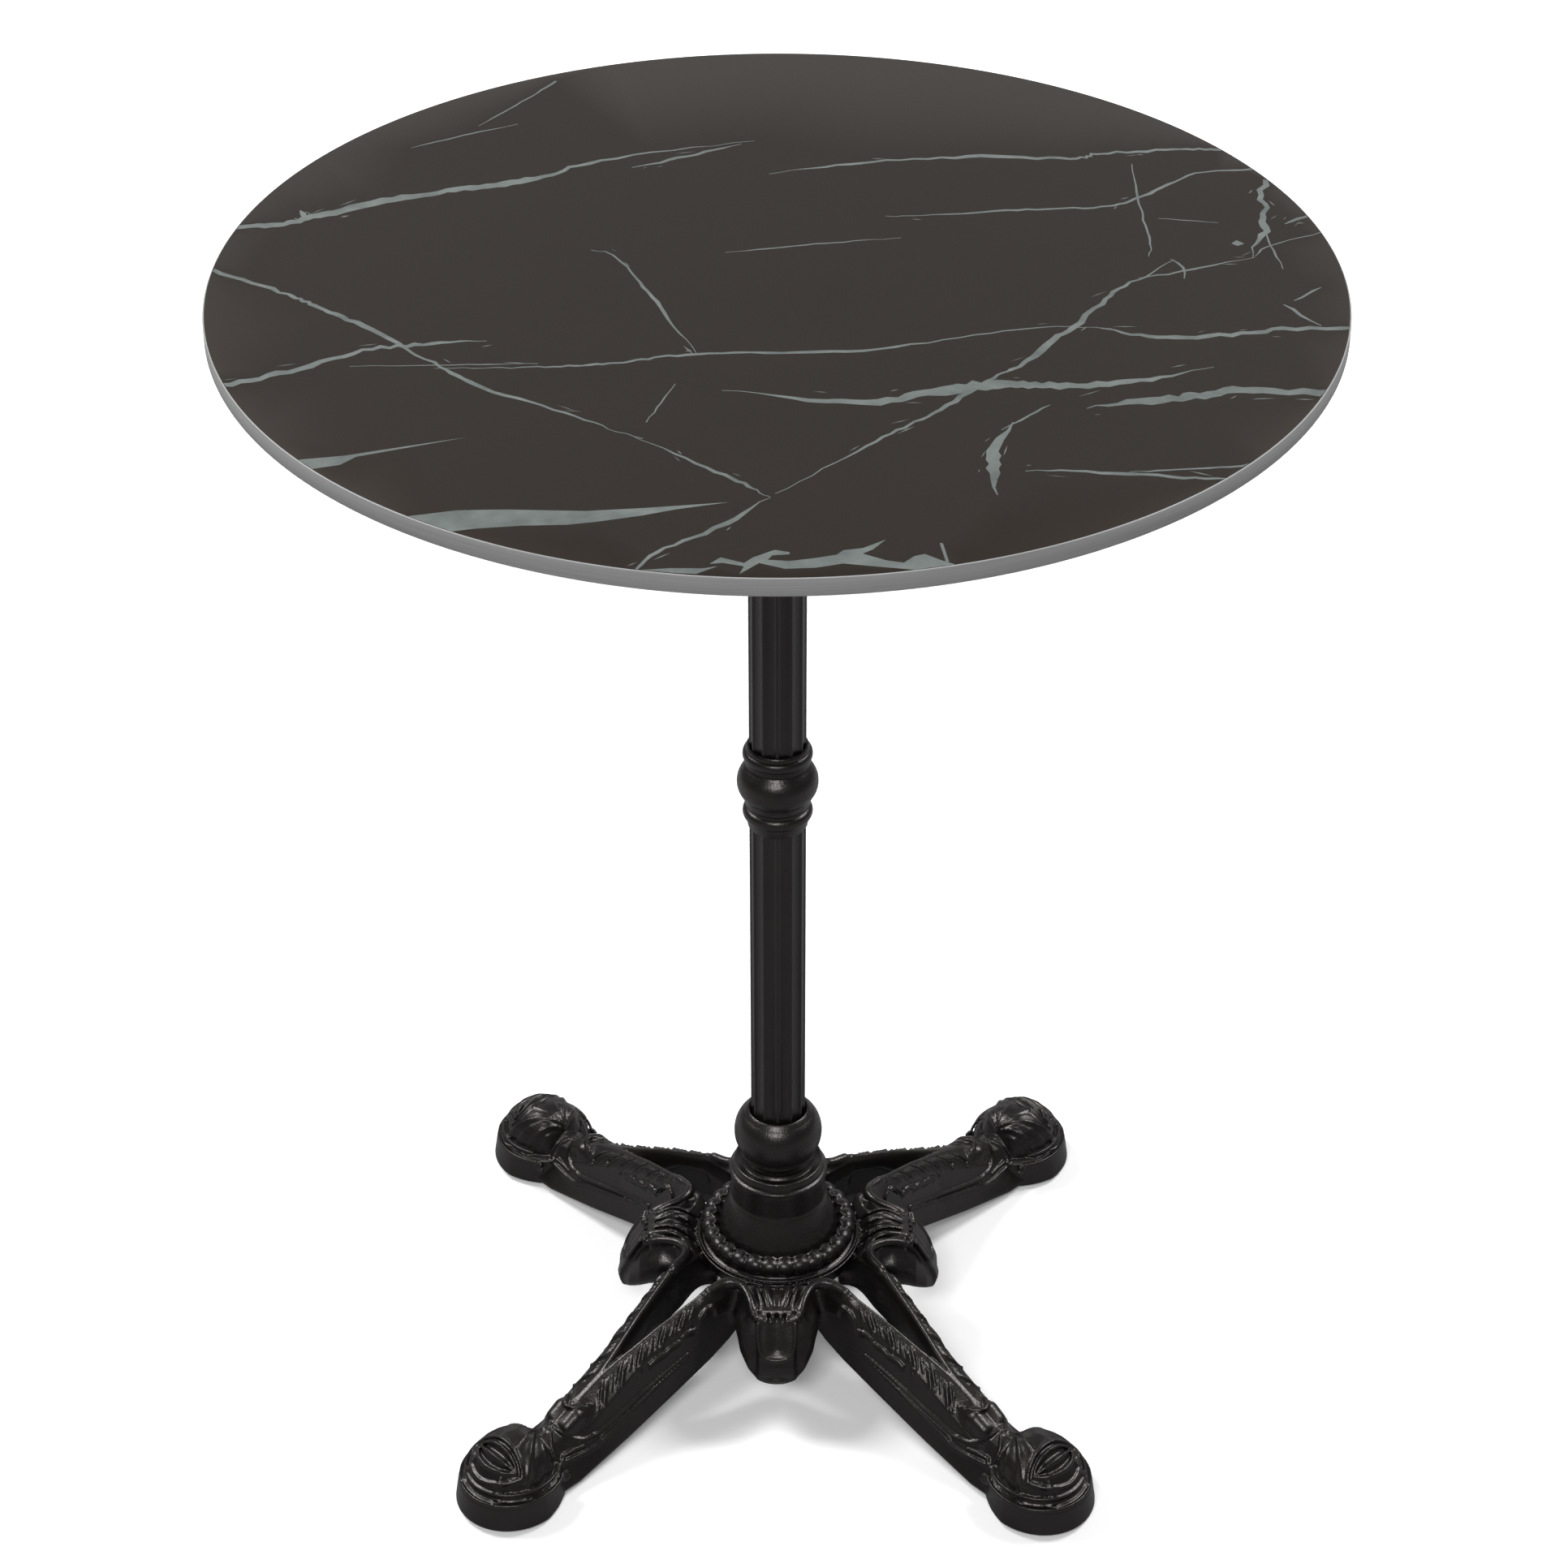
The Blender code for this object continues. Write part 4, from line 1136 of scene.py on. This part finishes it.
def table_top(face_material, vein_material, edge_material):
    """The laminate disc with its veins inlaid flush and a grey edge."""
    bottom, top = levels_of("table_top")
    radius = 1000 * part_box("table_top")[1].x
    sides, ease = 256, 0.8
    points, faces, kinds = top_face(radius - ease, sides)
    shape = bmesh.new()
    upper = [shape.verts.new((p.x * MM, p.y * MM, top * MM)) for p in points]
    for face, is_vein in zip(faces, kinds):
        made = shape.faces.new([upper[i] for i in face])
        made.material_index = 1 if is_vein else 0
    order = rim_order(shape, radius - ease)
    rows = [order]
    edge = [(-0.25, top - 0.25), (0, top - ease), (0, bottom + ease), (-0.25, bottom + 0.25)]
    for reach, height in edge + [(-ease, bottom)]:
        scale = (radius + reach) / (radius - ease)
        rows.append([shape.verts.new((v.co.x * scale, v.co.y * scale, height * MM)) for v in order])
    for above, below in zip(rows, rows[1:]):
        for i in range(len(above)):
            j = (i + 1) % len(above)
            wall = shape.faces.new((above[i], below[i], below[j], above[j]))
            wall.material_index = 2
            wall.smooth = True
    shape.faces.new(rows[-1])
    bmesh.ops.recalc_face_normals(shape, faces=shape.faces)
    mesh = bpy.data.meshes.new("veined_top")
    shape.to_mesh(mesh)
    shape.free()
    piece = link("veined_top", mesh)
    for material in (face_material, vein_material, edge_material):
        mesh.materials.append(material)
    mesh.set_sharp_from_angle(angle=math.radians(30))
    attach(piece, "table")
    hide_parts("table_top")


def rim_order(shape, radius):
    """The disc's rim points in order round it."""
    near = [v for v in shape.verts if math.hypot(v.co.x, v.co.y) > (radius - 0.05) * MM]
    return sorted(near, key=lambda v: math.atan2(v.co.y, v.co.x))


# ---------------------------------------------------------------- materials


class Nodes:
    """A short hand for a node-based material."""

    def __init__(self, name):
        self.material = bpy.data.materials.new(name)
        self.material.use_nodes = True
        self.tree = self.material.node_tree
        self.shader = self.tree.nodes["Principled BSDF"]
        self.place = self.add("ShaderNodeTexCoord").outputs["Object"]

    def feed(self, socket, value):
        """Gives a socket a value, or joins another node's output to it."""
        if isinstance(value, bpy.types.NodeSocket):
            self.tree.links.new(value, socket)
        else:
            socket.default_value = value

    def add(self, kind, *values, **settings):
        """A node. values feed its first sockets; settings are its sockets' or its own, by name."""
        node = self.tree.nodes.new(kind)
        for socket, value in zip(node.inputs, values):
            self.feed(socket, value)
        for key, value in settings.items():
            if key in node.inputs:
                self.feed(node.inputs[key], value)
            else:
                setattr(node, key, value)
        return node

    def math(self, operation, *values):
        return self.add("ShaderNodeMath", *values, operation=operation).outputs[0]

    def noise(self, scale, detail, roughness, stretch=None):
        """Noise from 0 to 1 over the object's own metres, or over stretched ones."""
        place = self.place
        if stretch:
            place = self.add("ShaderNodeMapping", Vector=place, Scale=stretch).outputs["Vector"]
        settings = {"Scale": scale, "Detail": detail, "Roughness": roughness, "Vector": place}
        return self.add("ShaderNodeTexNoise", **settings).outputs["Fac"]

    def blend(self, source, start, first, end, second):
        """From one colour to another as the source goes from start to end."""
        node = self.add("ShaderNodeValToRGB", source)
        for element, position, colour in zip(node.color_ramp.elements, (start, end), (first, second)):
            element.position = position
            element.color = (*colour, 1.0)
        return node.outputs["Color"]

    def spread(self, source, low, high, start=0.0, end=1.0):
        """Maps start..end to low..high."""
        settings = {"Value": source, "From Min": start, "From Max": end, "To Min": low, "To Max": high}
        return self.add("ShaderNodeMapRange", **settings).outputs["Result"]

    def bump(self, source, strength, distance, **after):
        settings = {"Height": source, "Strength": strength, "Distance": distance, **after}
        return self.add("ShaderNodeBump", **settings).outputs["Normal"]

    def set(self, **inputs):
        """Feeds the shader and gives back the material."""
        for key, value in inputs.items():
            self.feed(self.shader.inputs[key.replace("_", " ")], value)
        return self.material


def black_casting():
    """Black satin paint over sand-cast iron: a fine pebbled grain, worn a little brown."""
    nodes = Nodes("black_casting_finish")
    worn = nodes.noise(38, 5, 0.6)
    colour = nodes.blend(worn, 0.35, (0.0036, 0.0034, 0.0033), 0.62, (0.0072, 0.0058, 0.0051))
    rough = nodes.spread(nodes.noise(420, 3, 0.5), 0.26, 0.40)
    grain = nodes.bump(nodes.noise(900, 2, 0.5), 0.26, 0.0006)
    normal = nodes.bump(nodes.noise(240, 2, 0.5), 0.10, 0.0006, Normal=grain)
    nodes.set(Specular_IOR_Level=0.52, Specular_Tint=(1.0, 0.93, 0.92, 1.0))
    return nodes.set(Base_Color=colour, Roughness=rough, Normal=normal)


def laminate_face():
    """The printed, satin face of compact laminate: dark brown-black with a fine speckle."""
    nodes = Nodes("laminate_face_finish")
    cloud = nodes.spread(nodes.noise(9, 4, 0.55), 0.15, 0.4)
    speckle = nodes.math("MULTIPLY_ADD", nodes.noise(1700, 2, 0.5), 0.55, cloud)
    colour = nodes.blend(speckle, 0.35, (0.0072, 0.0050, 0.0036), 0.75, (0.0122, 0.0090, 0.0068))
    rough = nodes.spread(nodes.noise(900, 2, 0.5), 0.50, 0.60)
    normal = nodes.bump(nodes.noise(1400, 2, 0.5), 0.12, 0.0002)
    nodes.set(Specular_IOR_Level=0.28, Specular_Tint=(1.0, 0.86, 0.76, 1.0))
    return nodes.set(Base_Color=colour, Roughness=rough, Normal=normal)


def laminate_vein():
    """The veins: a grey-green print that pales and darkens in patches."""
    nodes = Nodes("laminate_vein_finish")
    colour = nodes.blend(nodes.noise(60, 5, 0.6), 0.3, (0.078, 0.091, 0.088), 0.7, (0.136, 0.154, 0.148))
    rough = nodes.spread(nodes.noise(900, 2, 0.5), 0.42, 0.52)
    return nodes.set(Base_Color=colour, Roughness=rough, Specular_IOR_Level=0.3)


def laminate_edge():
    """The machined edge: mid grey with fine lines round the disc."""
    nodes = Nodes("laminate_edge_finish")
    lines = nodes.noise(1, 3, 0.6, (14, 14, 2600))
    colour = nodes.blend(lines, 0.3, (0.240, 0.240, 0.243), 0.7, (0.305, 0.305, 0.308))
    rough = nodes.spread(nodes.noise(300, 2, 0.5), 0.45, 0.6)
    return nodes.set(Base_Color=colour, Roughness=rough, Normal=nodes.bump(lines, 0.2, 0.0003))


def zinc_plate():
    """Bright zinc on steel, clouded and faintly grained."""
    nodes = Nodes("zinc_plate_finish")
    colour = nodes.blend(nodes.noise(120, 4, 0.6), 0.3, (0.52, 0.53, 0.55), 0.7, (0.68, 0.68, 0.66))
    rough = nodes.spread(nodes.noise(700, 3, 0.5), 0.22, 0.42)
    normal = nodes.bump(nodes.noise(1500, 2, 0.5), 0.15, 0.0002)
    return nodes.set(Base_Color=colour, Roughness=rough, Normal=normal, Metallic=1.0)


def turned_brass():
    """Brass with fine turning lines round it."""
    nodes = Nodes("turned_brass_finish")
    lines = nodes.noise(1, 3, 0.6, (60, 60, 2400))
    colour = nodes.blend(lines, 0.3, (0.60, 0.42, 0.18), 0.7, (0.78, 0.58, 0.28))
    return nodes.set(Base_Color=colour, Roughness=nodes.spread(lines, 0.22, 0.4), Metallic=1.0)


def glide_plastic():
    """Matte moulded plastic with a spark-eroded grain and scuffs."""
    nodes = Nodes("glide_plastic_finish")
    colour = nodes.blend(nodes.noise(180, 5, 0.65), 0.4, (0.016, 0.016, 0.017), 0.75, (0.034, 0.033, 0.033))
    rough = nodes.spread(nodes.noise(1200, 2, 0.5), 0.5, 0.7)
    normal = nodes.bump(nodes.noise(2200, 2, 0.6), 0.3, 0.0003)
    return nodes.set(Base_Color=colour, Roughness=rough, Normal=normal)


# ---------------------------------------------------------------- floor, light and camera


def studio_floor():
    """A pale floor that fades to white, and that can be seen through from below. Only the camera sees it
    pale; to other rays it is dark grey, which is painted shade on the iron. In glossy rays it glows at the
    sides, which is a painted reflection on the column.
    """
    size = 12
    mesh = bpy.data.meshes.new("studio_floor")
    corners = [(-size, -size, 0), (size, -size, 0), (size, size, 0), (-size, size, 0)]
    mesh.from_pydata(corners, [], [(0, 1, 2, 3)])
    floor = link("studio_floor", mesh)
    floor.location.z = -0.0002
    nodes = Nodes("studio_floor_finish")
    rays = nodes.add("ShaderNodeLightPath").outputs
    spot = nodes.add("ShaderNodeNewGeometry").outputs
    # Pale to the camera but dark grey to all other rays: painted shade, so the floor throws little light
    # back onto the iron's undersides.
    pale = nodes.spread(nodes.noise(3, 2, 0.5), 0.63, 0.65)
    colour = nodes.math("MULTIPLY_ADD", rays["Is Camera Ray"], pale, 0.26)
    # It glows white far away for the camera. It also glows at the sides, but only in glossy rays: a painted
    # reflection that puts highlights on the column's ribs.
    far = nodes.add("ShaderNodeVectorMath", spot["Position"], operation="LENGTH").outputs["Value"]
    glow = nodes.math("MULTIPLY", rays["Is Camera Ray"], nodes.spread(far, 0.14, 0.95, 0.9, 2.4))
    sideways = nodes.add("ShaderNodeSeparateXYZ", spot["Position"]).outputs["X"]
    sideways = nodes.spread(nodes.math("ABSOLUTE", sideways), 0, 0.22, 0.3, 0.8)
    glow = nodes.math("ADD", glow, nodes.math("MULTIPLY", rays["Is Glossy Ray"], sideways))
    nodes.set(Base_Color=colour, Roughness=0.8, Specular_IOR_Level=0.1)
    mesh.materials.append(nodes.set(Emission_Color=(1, 1, 1, 1), Emission_Strength=glow))
    clear = nodes.add("ShaderNodeBsdfTransparent").outputs["BSDF"]
    mix = nodes.add("ShaderNodeMixShader", spot["Backfacing"], nodes.shader.outputs["BSDF"], clear)
    nodes.feed(nodes.tree.nodes["Material Output"].inputs["Surface"], mix.outputs["Shader"])


def area_light(name, place, target, size, power):
    light = bpy.data.lights.new(name, "AREA")
    light.shape = "RECTANGLE"
    light.size, light.size_y = size
    light.energy = power
    lamp = link(name, light)
    lamp.location = place
    lamp.rotation_euler = (Vector(target) - Vector(place)).to_track_quat("-Z", "Y").to_euler()


def studio_lights():
    """Soft boxes round the table. The surroundings are white to the eye but dim in reflections."""
    world = bpy.data.worlds.new("studio")
    world.use_nodes = True
    tree = world.node_tree
    background = tree.nodes["Background"]
    background.inputs["Color"].default_value = (1, 1, 1, 1)
    ray = tree.nodes.new("ShaderNodeLightPath")
    strength = tree.nodes.new("ShaderNodeMapRange")
    strength.inputs["To Min"].default_value = 0.13
    strength.inputs["To Max"].default_value = 1.0
    tree.links.new(ray.outputs["Is Camera Ray"], strength.inputs["Value"])
    tree.links.new(strength.outputs["Result"], background.inputs["Strength"])
    bpy.context.scene.world = world
    bpy.context.scene.view_settings.view_transform = "Standard"
    area_light("left_light", (-1.7, 0.7, 2.5), (0, 0, 0.1), (0.9, 0.9), 62)
    area_light("right_light", (1.7, 0.8, 2.4), (0, 0, 0.1), (0.9, 0.9), 52)
    area_light("front_light", (-0.3, -2.3, 2.5), (0, 0, 0.2), (1.0, 0.6), 54)
    area_light("back_light", (0, 3.4, 1.35), (0, 0, 0.7), (4.0, 0.6), 14)


def camera():
    """A long lens in front of the table, a little right of its middle, looking down at it."""
    lens = bpy.data.cameras.new("view")
    lens.sensor_width = 36
    lens.lens = 86.2
    view = link("view", lens)
    view.location = (0.0216, -1.7791, 1.6259)
    view.rotation_euler = (math.radians(55.67), 0, math.radians(0.579))
    bpy.context.scene.camera = view


# ---------------------------------------------------------------- put together


def main():
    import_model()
    iron = (black_casting(), "black_casting")
    steel = (zinc_plate(), "zinc_hardware")
    brass = (turned_brass(), "insert_brass")
    plastic = (glide_plastic(), "glide_plastic")
    base_casting(iron)
    bell(iron)
    ball_socket(iron)
    fluted_column("lower_column", "fluted_column_lower", iron)
    knop(iron)
    fluted_column("upper_column", "fluted_column_upper", iron)
    spider(iron)
    table_top(laminate_face(), laminate_vein(), laminate_edge())
    tie_rod(steel)
    for place in ("upper", "lower"):
        nut(f"{place}_nut", f"hex_nut_{place}", steel)
    for place in ("upper", "lower", "lock"):
        washer(f"{place}_washer", f"washer_{place}", steel)
    for number in range(1, 5):
        screw(number, steel)
        insert(number, brass)
    for corner in ("front_left", "front_right", "back_right", "back_left"):
        leveller(corner, steel, plastic)
    studio_floor()
    studio_lights()
    camera()


main()
